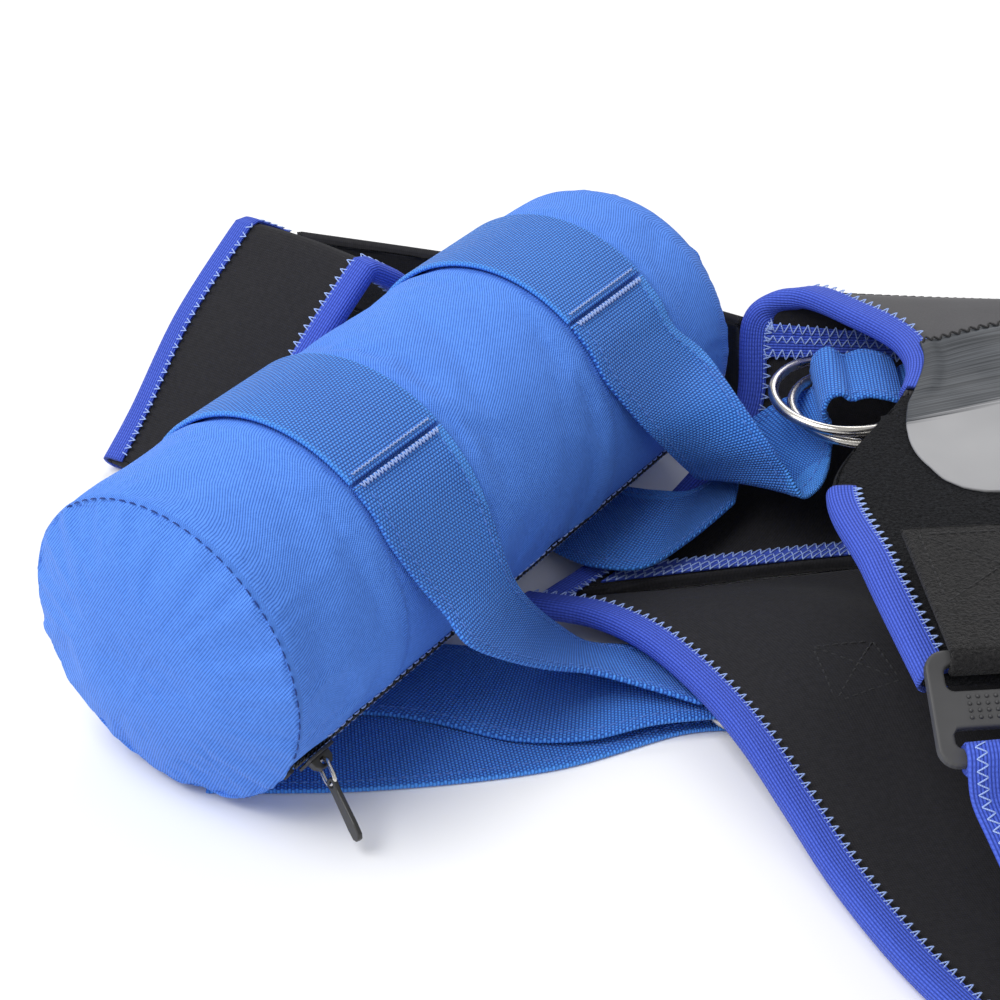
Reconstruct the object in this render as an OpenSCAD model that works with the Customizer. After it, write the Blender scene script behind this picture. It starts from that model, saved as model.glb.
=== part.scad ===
// Arm sling laid flat: a bound neoprene arm sleeve with a shoulder cap, a chest strap and a
// zipped hand roll that hangs from two adjustable webbing straps.

/* [Hand roll] */
// Outer diameter of the covered hand roll
roll_d = 90; // [84:1:92]
// Length of the roll between its two cap seams
roll_len = 214; // [206:1:216]
// Thickness of the cover fabric
cover_t = 1.6; // [1:0.1:1.8]
// How far the near end cap bulges out
near_dome = 11; // [8:1:16]
// How far the far end cap bulges out
far_dome = 7; // [4:1:8]

/* [Zipper] */
// Angle of the zipper from the top of the roll, in degrees
zip_angle = 124.5; // [120:0.5:132]
// Length of the zipper pull tab
pull_len = 23; // [16:1:23]

/* [Webbing] */
// Width of the hand straps
web_w = 38; // [34:1:38]
// Thickness of the hand straps
web_t = 1.6; // [1.2:0.1:1.6]
// Diameter of the wire of the round rings
wire_d = 3.2; // [2.4:0.1:3.2]
// Radius of the rings to the middle of the wire
ring_r = 21; // [20.8:0.1:21.2]

/* [Sleeve] */
// Thickness of the neoprene panels
neo_t = 4; // [3:0.5:4]
// Thickness of the binding tape
bind_t = 1; // [0.6:0.1:1.2]
// How far the binding reaches in from an edge
bind_depth = 7; // [5:0.5:8]

/* [Closure buckle] */
// Width of the buckle along its bars
buckle_w = 56; // [54:1:58]
// Length of the buckle across its bars
buckle_l = 29; // [28:1:30]
// Thickness of the buckle
buckle_t = 3; // [2.5:0.1:3.2]

/* [Hidden] */

// Row origin: middle of the footprint, on the plane that the sling lies on
origin_x = 182.5;
origin_y = 61.4;

gap = 0.3;
roll_r = roll_d / 2;
axis_z = 45;
roll_dir = 55;
belly_z = 3.6;            // flat underside of the roll where it rests
band_r = roll_r + 0.5 + web_t / 2;
band_z = 2.6;             // mid height of the webbing under the roll
near_s = 64;              // middle of the near strap along the roll
far_s = 165;              // middle of the far strap along the roll
bar_a = 36;               // sewn bar where a strap leaves the top of the roll
under_a = 158;            // sewn bar where a strap leaves under the roll
fine = 96;

BLUE = [0.10, 0.33, 0.80];
COVER_BLUE = [0.16, 0.42, 0.86];
BIND_BLUE = [0.15, 0.24, 0.85];
BLACK = [0.06, 0.06, 0.07];
PLUSH = [0.09, 0.09, 0.10];
NICKEL = [0.72, 0.70, 0.67];

// ---- points, curves and sheets -------------------------------------------------------

function unit(v) = v / norm(v);
function clamped(list, i) = list[max(0, min(len(list) - 1, i))];
function spline(a, b, c, d, t) = 0.5 * (2 * b + (c - a) * t
    + (2 * a - 5 * b + 4 * c - d) * t * t + (3 * b - a - 3 * c + d) * t * t * t);
// Point on the smooth curve through a list, at a place counted in list steps
function on_curve(list, u) = let (i = max(0, min(len(list) - 2, floor(u))))
    spline(clamped(list, i - 1), list[i], list[i + 1], clamped(list, i + 2), u - i);
function curve(list, n) = [for (k = [0:n]) on_curve(list, k * (len(list) - 1) / n)];
// Grid of points on the smooth sheet through rows of points, from place u0 to u1 along the rows
function grid_over(rows, u0, u1, nu, nv) = [for (j = [0:nv])
    [for (i = [0:nu]) let (u = u0 + (u1 - u0) * i / nu)
        on_curve([for (row = rows) on_curve(row, u)], j * (len(rows) - 1) / nv)]];
// Part of such a sheet between two places across its rows
function patch(rows, u0, u1, v0, v1, nu, nv) = [for (j = [0:nv])
    [for (i = [0:nu]) let (u = u0 + (u1 - u0) * i / nu, v = v0 + (v1 - v0) * j / nv)
        on_curve([for (row = rows) on_curve(row, u)], v)]];
function normal(g, j, i) = unit(cross(clamped(g[j], i + 1) - clamped(g[j], i - 1),
    clamped(g, j + 1)[i] - clamped(g, j - 1)[i]));
function lifted(g, h) = [for (j = [0:len(g) - 1])
    [for (i = [0:len(g[0]) - 1]) g[j][i] + h * normal(g, j, i)]];

// Point at distance r from the roll's axis, s along it, a degrees from the top to the front
function roll_point(s, a, r) = [
    s * cos(roll_dir) + r * sin(a) * sin(roll_dir),
    s * sin(roll_dir) - r * sin(a) * cos(roll_dir),
    axis_z + r * cos(a)];
// Webbing round the roll: pressed flat where it passes underneath
function band_radius(a) = cos(a) < 0 ? min(band_r, (band_z - axis_z) / cos(a)) : band_r;

// Closed sheet of thickness t about a grid of points
module slab(g, t) {
    rows = len(g);
    cols = len(g[0]);
    top = lifted(g, t / 2);
    low = lifted(g, -t / 2);
    n = rows * cols;
    points = concat([for (row = top) each row], [for (row = low) each row]);
    function at(j, i) = j * cols + i;
    rim = concat([for (i = [0:cols - 2]) at(0, i)], [for (j = [0:rows - 2]) at(j, cols - 1)],
        [for (i = [cols - 1:-1:1]) at(rows - 1, i)], [for (j = [rows - 1:-1:1]) at(j, 0)]);
    faces = concat(
        [for (j = [0:rows - 2]) for (i = [0:cols - 2])
            each [[at(j, i), at(j + 1, i), at(j + 1, i + 1)], [at(j, i), at(j + 1, i + 1), at(j, i + 1)]]],
        [for (j = [0:rows - 2]) for (i = [0:cols - 2])
            each [[n + at(j, i), n + at(j + 1, i + 1), n + at(j + 1, i)],
                [n + at(j, i), n + at(j, i + 1), n + at(j + 1, i + 1)]]],
        [for (k = [0:len(rim) - 1]) let (a = rim[k], b = rim[(k + 1) % len(rim)])
            each [[a, b, n + b], [a, n + b, n + a]]]);
    polyhedron(points, faces);
}

// Webbing between two edge lines with the same number of points
module ribbon(left, right, t) {
    slab([for (k = [0:len(left) - 1]) [left[k], right[k]]], t);
}

// Tape folded round an edge. inner is the next line of the sheet in from the edge.
module binding(edge, inner, normals) {
    hi = neo_t / 2 + gap;
    ho = hi + bind_t;
    section = [[bind_depth, ho], [-gap - bind_t, ho], [-gap - bind_t, -ho], [bind_depth, -ho],
        [bind_depth, -hi], [-gap, -hi], [-gap, hi], [bind_depth, hi]];
    m = len(section);
    last = len(edge) - 1;
    // which way the sheet lies from its edge
    hand = sign(cross(normals[0], edge[1] - edge[0]) * (inner[0] - edge[0]));
    points = [for (k = [0:last])
        let (along = unit(clamped(edge, k + 1) - clamped(edge, k - 1)),
            up = normals[k],
            inward = hand * unit(cross(up, along)))
        each [for (p = section) edge[k] + inward * p[0] + up * p[1]]];
    walls = [for (k = [0:last - 1]) for (i = [0:m - 1])
        let (a = k * m + i, b = k * m + (i + 1) % m)
        each [[a, b, b + m], [a, b + m, a + m]]];
    ends = [[for (i = [m - 1:-1:0]) i], [for (i = [0:m - 1]) last * m + i]];
    outward = concat(walls, ends);
    polyhedron(points, hand < 0 ? outward : [for (f = outward) [for (i = [len(f) - 1:-1:0]) f[i]]]);
}
// Binding along the first (0) or last (1) line across a grid, or along its first or last row
module bind_column(g, side) {
    i = side == 0 ? 0 : len(g[0]) - 1;
    k = side == 0 ? 1 : len(g[0]) - 2;
    binding([for (row = g) row[i]], [for (row = g) row[k]],
        [for (j = [0:len(g) - 1]) normal(g, j, i)]);
}
module bind_row(g, side) {
    j = side == 0 ? 0 : len(g) - 1;
    k = side == 0 ? 1 : len(g) - 2;
    binding(g[j], g[k], [for (i = [0:len(g[0]) - 1]) normal(g, j, i)]);
}

module place() { translate([-origin_x, -origin_y, 0]) children(); }
// Children drawn along +Z lie along the roll, with -X up and -Y towards the front
module on_roll() {
    place() translate([0, 0, axis_z]) rotate([0, 0, roll_dir]) rotate([0, 90, 0]) children();
}
// Children stand on the zipper line, with +X out of the roll and +Z along it
module on_zip() { on_roll() rotate([0, 0, 180 + zip_angle]) children(); }
module above_belly() {
    difference() {
        children();
        translate([axis_z - belly_z, -roll_d, -roll_len]) cube([roll_d, 2 * roll_d, 3 * roll_len]);
    }
}

// ---- hand roll -------------------------------------------------------------------------

core_r = roll_r - cover_t - gap;
slot_w = 13;              // width of the cover's opening for the zipper
slot_depth = 5;           // room inside the cover for the zipper and its slider
slot_start = 2;
slot_end = roll_len - 2;

module zip_channel(w, from, to) {
    rotate([0, 0, 180 + zip_angle]) translate([roll_r - slot_depth, -w / 2, from])
        cube([slot_depth + 5, w, to - from]);
}
module roll_core() {
    color("lightgrey") on_roll() above_belly() difference() {
        translate([0, 0, 2]) cylinder(r = core_r, h = roll_len - 4, $fn = fine);
        zip_channel(slot_w + 2, slot_start - 5, slot_end + 5);
        translate([axis_z - belly_z - cover_t - gap, -roll_d, -1])
            cube([roll_d, 2 * roll_d, roll_len + 2]);
    }
}
module roll_cover() {
    color(COVER_BLUE) on_roll() difference() {
        above_belly() cylinder(r = roll_r, h = roll_len, $fn = fine);
        translate([0, 0, -1]) difference() {
            cylinder(r = roll_r - cover_t, h = roll_len + 2, $fn = fine);
            translate([axis_z - belly_z - cover_t, -roll_d, 0])
                cube([roll_d, 2 * roll_d, roll_len + 2]);
        }
        zip_channel(slot_w, slot_start, slot_end);
    }
}
// Domed end of the cover: a shallow cap that turns into a round edge at the seam
module cap(depth, from) {
    r = roll_r - 0.6;
    steps = 14;
    profile = concat([[0, 0]], [for (k = [0:steps]) let (a = 90 * k / steps)
        [r * pow(cos(a), 0.55), depth * pow(sin(a), 0.9)]]);
    translate([0, 0, from]) rotate_extrude($fn = fine) polygon([for (p = profile) [max(0, p[0]), p[1]]]);
}
module roll_cap_near() {
    color(COVER_BLUE) on_roll() above_belly() mirror([0, 0, 1]) cap(near_dome, gap);
}
module roll_cap_far() {
    color(COVER_BLUE) on_roll() above_belly() cap(far_dome, roll_len + gap);
}

// ---- zipper ----------------------------------------------------------------------------

tape_x = roll_r - 2.4;    // underside of the zipper tape, from the roll's axis
tape_t = 0.6;
coil_r = 0.8;
post_w = 1.0;             // the slider's middle post runs between the two coils
coil_y = post_w / 2 + gap + coil_r;
tape_w = 5.4;
slider_s = 14;            // slider at rest, by the near end
slider_l = 10;
slider_w = 8.4;
blade_t = 1;
hinge_h = 2.7;            // height of the pull's axis above the slider's top blade
pull_lean = 20;           // the pull hangs towards the near end
blade_x = tape_x + tape_t + 2 * coil_r + gap;

module zip_tape(side) {
    y = side > 0 ? post_w / 2 + gap : -post_w / 2 - gap - tape_w;
    on_zip() translate([tape_x, y, slot_start + 0.5])
        cube([tape_t, tape_w, slot_end - slot_start - 1]);
}
module zip_coil(side) {
    on_zip() translate([tape_x + tape_t + 0.1 + coil_r, side * coil_y, slot_start + 3])
        cylinder(r = coil_r - 0.05, h = slot_end - slot_start - 6, $fn = 24);
}
module zipper_tape_upper() { color(BLACK) zip_tape(-1); }
module zipper_tape_lower() { color(BLACK) zip_tape(1); }
module zipper_coil_upper() { color(BLACK) zip_coil(-1); }
module zipper_coil_lower() { color(BLACK) zip_coil(1); }
module zipper_stops() {
    color(BLACK) on_zip() for (s = [slot_start + 0.8, slot_end - 2.2])
        translate([tape_x + tape_t + 0.1, -2, s]) cube([1.8, 4, 1.4]);
}
module zipper_slider() {
    color(BLACK) on_zip() translate([0, 0, slider_s]) difference() {
        union() {
            // upper and lower blades, joined by the post
            for (x = [tape_x - gap - blade_t, blade_x])
                translate([x, -slider_w / 2, -slider_l / 2]) cube([blade_t, slider_w, slider_l]);
            translate([tape_x - gap - blade_t, -post_w / 2, -slider_l / 2])
                cube([blade_x - tape_x + gap + blade_t, post_w, 4]);
            // bridge that holds the pull
            translate([blade_x + blade_t / 2, -1.1, -3.6]) cube([hinge_h + 1.6, 2.2, 7.2]);
        }
        // eye of the bridge
        translate([blade_x + blade_t + hinge_h - 1, 2, 0]) rotate([90, 0, 0])
            cylinder(r = 1.05, h = 4, $fn = 32);
    }
}
// Pull: a pin through the eye, two side arms and a tab that hangs out of the roll
module zipper_pull() {
    x0 = blade_x + blade_t + hinge_h - 1;
    color(BLACK) on_zip() translate([x0, 0, slider_s]) rotate([0, pull_lean, 0]) {
        translate([0, 2.6, 0]) rotate([90, 0, 0]) cylinder(r = 0.7, h = 5.2, $fn = 32);
        for (y = [-2.6, 1.6]) translate([-0.7, y, -0.7]) cube([7, 1, 1.4]);
        translate([5, -2.6, -0.7]) cube([2, 5.2, 1.4]);
        translate([6.4, -2, -0.6]) cube([pull_len - 6.4, 4, 1.2]);
    }
}

// ---- hand straps -----------------------------------------------------------------------

module sewn_band(s) {
    angles = [for (k = [0:40]) bar_a + (under_a - 360 - bar_a) * k / 40];
    ribbon([for (a = angles) roll_point(s - web_w / 2, a, band_radius(a))],
        [for (a = angles) roll_point(s + web_w / 2, a, band_radius(a))], web_t);
}
// Points of one strap edge while it still lies on the roll, between two angles
function on_roll_edge(s, from, to) = [for (a = [from:(to - from) / 2:to + 0.001 * sign(to - from)])
    roll_point(s, a, band_r)];

module near_strap_band() { color(BLUE) place() sewn_band(near_s); }
module far_strap_band() { color(BLUE) place() sewn_band(far_s); }

module near_strap_front() {
    left = concat(on_roll_edge(near_s - web_w / 2, bar_a + 1, 60),
        [[66, 12, 57], [72, 10, 50], [78, 5, 44], [88, 10, 35], [99, 19, 25], [112, 27, 17],
         [126, 26, 13], [142, 22, 10]]);
    right = concat(on_roll_edge(near_s + web_w / 2, bar_a + 1, 60),
        [[85, 40, 57], [88, 37, 48], [91, 38, 39], [96, 43, 28], [103, 51, 15], [111, 54.5, 6.4],
         [121, 51, 7.9], [131, 49, 8.6]]);
    color(BLUE) place() ribbon(curve(left, 44), curve(right, 44), web_t);
}
module near_strap_under() {
    left = [roll_point(near_s - web_w / 2, under_a - 1, band_radius(under_a)), [55, 26, 2.8],
        [70, 22, 3], [90, 15, 3], [110, 14, 4], [128, 18, 6], [142, 20, 6.3], [150, 21, 6.2],
        [155, 22, 4.6], [156, 22, 2.8]];
    right = [roll_point(near_s + web_w / 2, under_a - 1, band_radius(under_a)), [75, 57, 3],
        [84, 54, 3.4], [97, 52, 3.6], [112, 52, 4], [128, 55, 6], [142, 57, 6.3], [150, 56, 6.2],
        [155, 55, 4.6], [156, 55, 2.8]];
    color(BLUE) place() ribbon(curve(left, 36), curve(right, 36), web_t);
}
module near_strap_tail() {
    left = [[8, -4, 0.9], [52, -3, 0.9], [100, 5, 0.9], [136, 20, 0.9], [154, 22, 0.9]];
    right = [[8, 34, 0.9], [48, 35, 0.9], [92, 43, 0.9], [126, 56, 0.9], [154, 55, 0.9]];
    color(BLUE) place() ribbon(curve(left, 20), curve(right, 20), 1.4);
}
module far_strap_front() {
    left = concat(on_roll_edge(far_s - web_w / 2, bar_a + 1, 60),
        [[124, 96, 58], [131, 98, 48], [138, 106, 36], [143, 113, 27], [147, 118, 21],
         [152, 127, 22], [161, 136, 27], [173, 139, 35], [184, 137, 41], [187, 137, 46], [187, 137, 51]]);
    right = concat(on_roll_edge(far_s + web_w / 2, bar_a + 1, 60),
        [[148, 126, 60], [157, 112, 53], [165, 101, 45], [171, 97, 37], [176, 94, 30],
         [181, 98, 30], [184, 103, 33], [186, 108, 37], [187, 111, 41], [187, 111, 46], [187, 111, 51]]);
    color(BLUE) place() ribbon(curve(left, 52), curve(right, 52), web_t);
}
module far_strap_under() {
    left = [roll_point(far_s - web_w / 2, under_a - 1, band_radius(under_a)), [106, 96, 6.6],
        [115, 85, 10.8], [129, 83, 12], [143, 94, 14], [158, 110, 17]];
    right = [roll_point(far_s + web_w / 2, under_a - 1, band_radius(under_a)), [128, 131, 8],
        [136, 121, 13.6], [145, 119, 15], [154, 125, 16.5], [162, 131, 18]];
    color(BLUE) place() ribbon(curve(left, 26), curve(right, 26), web_t);
}
module far_strap_tail() {
    left = [[188.4, 136, 52.6], [193, 137, 54], [200, 137, 53], [206, 136, 52]];
    right = [[188.4, 112, 52.6], [193, 111, 54], [200, 110, 53], [206, 110, 52]];
    color(BLUE) place() ribbon(curve(left, 12), curve(right, 12), web_t);
}

// ---- rings and their tabs --------------------------------------------------------------

lower_ring = [161, 38.5, 3.6];
ring_step = [0, 0, 5.4];
upper_ring = [196, 124, 42.6];
upper_step = [-6, 0, 4.4];
tab_w = 24;

module ring_wire(r) {
    rotate_extrude($fn = fine) translate([ring_r, 0]) circle(r = r, $fn = 32);
}
module ring(at) { color(NICKEL) place() translate(at) ring_wire(wire_d / 2); }
module lower_ring_bottom() { ring(lower_ring); }
module lower_ring_top() { ring(lower_ring + ring_step); }
module upper_ring_bottom() { ring(upper_ring); }
module upper_ring_top() { ring(upper_ring + upper_step); }

// Folded webbing tab that both rings run through
module ring_tab(at, size, first, step) {
    color(BLUE) place() difference() {
        translate(at) cube(size);
        for (p = [first, first + step]) translate(p) ring_wire(wire_d / 2 + gap);
    }
}
module lower_ring_tab() {
    ring_tab([lower_ring[0] + 15, lower_ring[1] - tab_w / 2, 0], [20, tab_w, 11.6],
        lower_ring, ring_step);
}
module upper_ring_tab() {
    ring_tab([upper_ring[0] + 12, upper_ring[1] - tab_w / 2, upper_ring[2] - 2.6],
        [28, tab_w, 9.8], upper_ring, upper_step);
}

// ---- sleeve ----------------------------------------------------------------------------

// Rows run round the sleeve from the back seam over the top to the front edge
sleeve = [
    [[99, 78, 4], [119, 100, 4.2], [141, 126, 9], [161, 147, 26], [164, 160, 53], [177, 158, 61],
     [192, 142, 63], [206, 124, 62], [203, 99, 62], [177, 53, 61], [181, 12, 62], [189, -30, 59]],
    [[215, 101, 2.4], [220, 118, 3], [226, 137, 12], [232, 150, 30], [236, 158, 48], [240, 156, 59],
     [244, 145, 63], [248, 126, 64], [250, 104, 65], [250, 60, 65.5], [252, 12, 65], [254, -30, 60]],
    [[340, 112, 2.4], [340, 124, 4], [340, 138, 14], [340, 150, 32], [340, 156, 46], [340, 153, 58],
     [340, 141, 64], [340, 124, 67], [340, 104, 69], [340, 60, 72], [340, 12, 71], [340, -30, 64]]];
// Rows run along the seam and then parallel to the mouth of the sleeve
floor_rows = [
    [[92, 69, 8], [112, 58, 12], [127, 42, 15], [141, 21, 15], [151, 1, 14], [161, -20, 9],
     [171, -43, 5], [184, -70, 3.9], [200, -96, 3.7]],
    [[146, 83, 3], [170, 68, 12], [186, 50, 16], [197, 24, 15.5], [203, 2, 10], [209, -20, 6],
     [216, -43, 3], [225, -70, 2.4], [234, -96, 2.4]],
    [[215, 97, 2.4], [226, 74, 4], [232, 50, 7], [238, 24, 7], [242, 2, 4], [243, -20, 2.4],
     [249, -43, 2.4], [256, -70, 2.4], [264, -96, 2.4]],
    [[340, 108, 2.4], [340, 84, 2.4], [340, 56, 2.4], [340, 28, 2.4], [340, 3, 2.4], [340, -20, 2.4],
     [340, -43, 2.4], [340, -70, 2.4], [340, -96, 2.4]]];
back_to = 4.86;
top_from = 5.14;
top_to = 8.0;
upper_from = 8.1;

function lower_grid() = grid_over(floor_rows, 0, 8, 22, 18);
function back_grid() = grid_over(sleeve, 0, back_to, 20, 14);
function top_grid() = grid_over(sleeve, top_from, top_to, 14, 14);
function upper_grid() = grid_over(sleeve, upper_from, 11, 18, 14);

module lower_panel() { color(BLACK) place() slab(lower_grid(), neo_t); }
module lower_binding() { color(BIND_BLUE) place() bind_row(lower_grid(), 0); }
module back_panel() { color(BLACK) place() slab(back_grid(), neo_t); }
// The two bindings stop short of the tight bend at the top of the back
module back_binding() {
    color(BIND_BLUE) place() bind_row(grid_over(sleeve, 0, back_to * 18 / 20, 18, 14), 0);
}
module top_panel() { color(BLACK) place() slab(top_grid(), neo_t); }
module top_binding() {
    color(BIND_BLUE) place() bind_row(grid_over(sleeve, 6, top_to, 11, 14), 0);
}
module upper_panel() { color(PLUSH) place() slab(upper_grid(), neo_t); }
// The plush panel is bound from where it leaves the label to its front edge
module upper_binding() {
    color(BIND_BLUE) place() bind_row(grid_over(sleeve, 9.1, 11, 12, 14), 0);
}

tape_lift = neo_t / 2 + gap + 0.4;
module seam_tape() {
    color(BIND_BLUE) place() slab(lifted(patch(sleeve, 0.15, 0.55, 0.2, 1.9, 2, 18), -tape_lift), 0.8);
}
module rear_seam_tape() {
    color(BIND_BLUE) place() slab(lifted(patch(sleeve, 3.55, 3.95, 0.2, 1.9, 2, 18), -tape_lift), 0.8);
}
// The label starts at the binding, then runs across the plush panel on a slant
label_start = [[6.9, 0.35], [8, 0.35], [8.2, 0.27], [8.4, 0.24], [8.7, 0.34], [9, 0.455], [9.23, 0.48], [9.35, 0.6]];
function label_grid(nu, nv) = [for (j = [0:nv]) [for (i = [0:nu])
    let (top = 7.1 - 0.7 * j / nv, u = top + (9.35 - top) * i / nu, from = lookup(u, label_start))
    on_curve([for (row = sleeve) on_curve(row, u)], from + (1.25 - from) * j / nv)]];
module label_patch() { color("silver") place() slab(lifted(label_grid(16, 8), tape_lift), 0.8); }

// Rows of the shoulder cap run on from the end of the sleeve and close it with a dome
cap_rows = [
    [[343, 156, 46], [343, 141, 64], [343, 104, 69], [343, 60, 72], [343, 12, 71], [343, -30, 64]],
    [[368, 148, 44], [369, 134, 59], [370, 100, 65], [370, 60, 68], [370, 12, 66], [369, -24, 58]],
    [[388, 136, 30], [392, 124, 42], [394, 96, 48], [395, 60, 50], [394, 16, 48], [391, -14, 40]],
    [[394, 130, 6], [400, 118, 6], [404, 92, 6], [405, 60, 6], [404, 20, 6], [400, -8, 6]]];
function cap_grid() = grid_over(cap_rows, 0, 5, 14, 12);
module shoulder_cap() { color(BLACK) place() slab(cap_grid(), neo_t); }
module cap_binding() { color(BIND_BLUE) place() bind_column(cap_grid(), 1); }

// ---- chest strap -----------------------------------------------------------------------

function chest_rear_grid() = grid_over([
    [[18, 225, 49], [64, 213, 48], [112, 205, 44], [166, 178, 42]],
    [[19, 227, 27], [66, 215, 26], [114, 207, 24], [168, 180, 23]],
    [[20, 228, 4], [68, 216, 3], [116, 209, 3], [170, 182, 3]]], 0, 3, 20, 6);
// The strap folds over at the top: one short side behind the fold, the end in front of it
function chest_fold_grid() = grid_over([
    [[20, 219, 30], [42, 205, 29], [64, 188, 28]],
    [[13, 215, 50], [35, 200, 50], [58, 183, 49]],
    [[4, 208, 59.5], [26, 193, 60.5], [49, 176, 59.5]]], 0, 2, 10, 8);
function chest_end_grid() = grid_over([
    [[-1, 203, 59.5], [21, 188, 60.5], [44, 171, 59.5]],
    [[-18, 186, 38], [4, 170, 40], [27, 154, 38]],
    [[-32, 168, 14], [-10, 153, 15], [12, 137, 14]],
    [[-40, 153, 3.7], [-19, 138, 3.7], [3, 122, 3.7]]], 0, 2, 10, 14);
module chest_strap_rear() { color(BLACK) place() slab(chest_rear_grid(), neo_t); }
module chest_strap_fold() { color(BLACK) place() slab(chest_fold_grid(), neo_t); }
module chest_strap_end() { color(BLACK) place() slab(chest_end_grid(), neo_t); }
module chest_end_binding() { color(BIND_BLUE) place() bind_column(chest_end_grid(), 0); }
module chest_inner_binding() { color(BIND_BLUE) place() bind_column(chest_end_grid(), 1); }

// ---- closure ---------------------------------------------------------------------------

closure_at = [216, -29, 67.2];
closure_turn = 5;
buckle_tilt = 30;
bar_r = 1.7;
tab_len = 50;
tab_t = 2.2;
hook_w = 44;
loop_r = bar_r + gap + tab_t;

module on_closure() { place() translate(closure_at) rotate([0, 0, closure_turn]) children(); }
// Hook tab: lies on the sleeve and folds round the buckle's first bar
module hook_tab() {
    color(BLACK) on_closure() {
        difference() {
            union() {
                translate([-hook_w / 2, 0, 0]) rotate([0, 90, 0])
                    cylinder(r = loop_r, h = hook_w, $fn = 48);
                translate([-hook_w / 2, 0, loop_r - tab_t]) cube([hook_w, tab_len, tab_t]);
            }
            translate([-hook_w / 2 - 1, 0, 0]) rotate([0, 90, 0])
                cylinder(r = bar_r + gap, h = hook_w + 2, $fn = 48);
            translate([-hook_w / 2 - 1, -bar_r - gap, -loop_r - 1])
                cube([hook_w + 2, 2 * loop_r, loop_r + 1 - bar_r * 0.2]);
        }
    }
}
module hook_pad() {
    color(PLUSH) on_closure() translate([-hook_w / 2 + 2, loop_r + 6, loop_r - tab_t - 1.3])
        cube([hook_w - 4, tab_len - loop_r - 8, 1.1]);
}
// Buckle: two round bars joined by side rails, and a wider middle web with the second slot
module closure_buckle() {
    color(BLACK) on_closure() rotate([buckle_tilt, 0, 0]) {
        for (y = [0, bar_r * 2 - buckle_l]) translate([-buckle_w / 2 + 2, y, 0]) rotate([0, 90, 0])
            cylinder(r = bar_r, h = buckle_w - 4, $fn = 32);
        for (x = [-buckle_w / 2, buckle_w / 2 - 4.5])
            translate([x, -buckle_l + bar_r, -buckle_t / 2]) cube([4.5, buckle_l, buckle_t]);
        translate([-buckle_w / 2, -buckle_l / 2 - 2, -buckle_t / 2]) cube([buckle_w, 7, buckle_t]);
    }
}
// Knit strap: a sewn loop round the buckle's second bar, and the strap led down to the floor panel
module closure_strap_loop() {
    color(BIND_BLUE) on_closure() rotate([buckle_tilt, 0, 0]) translate([-hook_w / 2, bar_r * 2 - buckle_l, 0])
        rotate([0, 90, 0]) difference() {
            cylinder(r = loop_r, h = hook_w, $fn = 48);
            translate([0, 0, -1]) cylinder(r = bar_r + gap, h = hook_w + 2, $fn = 48);
        }
}
module closure_strap() {
    left = [[197, -58, 48], [201, -67, 41], [211, -84, 25], [221, -98, 11], [230, -106.4, 3]];
    right = [[239, -54, 48], [244, -63, 41], [252, -80, 25], [260, -96, 11], [268, -106.4, 3]];
    color(BIND_BLUE) place() ribbon(curve(left, 16), curve(right, 16), 2.2);
}

roll_core();
roll_cover();
roll_cap_near();
roll_cap_far();
zipper_tape_upper();
zipper_tape_lower();
zipper_coil_upper();
zipper_coil_lower();
zipper_stops();
zipper_slider();
zipper_pull();
near_strap_band();
near_strap_front();
near_strap_under();
near_strap_tail();
far_strap_band();
far_strap_front();
far_strap_under();
far_strap_tail();
lower_ring_bottom();
lower_ring_top();
lower_ring_tab();
upper_ring_bottom();
upper_ring_top();
upper_ring_tab();
lower_panel();
lower_binding();
back_panel();
back_binding();
top_panel();
top_binding();
upper_panel();
upper_binding();
seam_tape();
rear_seam_tape();
label_patch();
shoulder_cap();
cap_binding();
chest_strap_rear();
chest_strap_fold();
chest_strap_end();
chest_end_binding();
chest_inner_binding();
hook_tab();
hook_pad();
closure_buckle();
closure_strap_loop();
closure_strap();
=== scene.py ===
import math

import bmesh
import bpy
import numpy as np
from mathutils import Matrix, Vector


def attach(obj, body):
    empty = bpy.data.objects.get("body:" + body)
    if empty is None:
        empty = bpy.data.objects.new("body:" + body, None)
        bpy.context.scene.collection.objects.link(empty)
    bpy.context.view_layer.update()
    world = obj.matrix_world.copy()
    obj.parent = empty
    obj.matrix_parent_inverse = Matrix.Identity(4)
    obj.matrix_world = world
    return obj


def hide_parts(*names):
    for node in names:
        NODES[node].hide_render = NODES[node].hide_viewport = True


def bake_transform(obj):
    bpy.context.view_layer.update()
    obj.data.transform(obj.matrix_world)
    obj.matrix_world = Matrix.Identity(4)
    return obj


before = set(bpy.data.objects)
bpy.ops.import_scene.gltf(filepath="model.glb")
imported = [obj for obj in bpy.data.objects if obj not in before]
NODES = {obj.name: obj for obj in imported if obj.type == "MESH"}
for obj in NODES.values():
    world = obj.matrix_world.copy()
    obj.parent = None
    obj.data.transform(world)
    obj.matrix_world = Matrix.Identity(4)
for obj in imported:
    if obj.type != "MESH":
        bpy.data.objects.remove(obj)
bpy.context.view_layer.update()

scene = bpy.context.scene

# ---- camera ----
camera = bpy.data.objects.new("camera", bpy.data.cameras.new("camera"))
scene.collection.objects.link(camera)
camera.location = (-0.0960, -0.5288, 0.4105)
camera.rotation_euler = (math.radians(55.78), 0, 0)
camera.data.sensor_width = 36
camera.data.lens = 82.8
camera.data.clip_start = 0.01
scene.camera = camera

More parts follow.
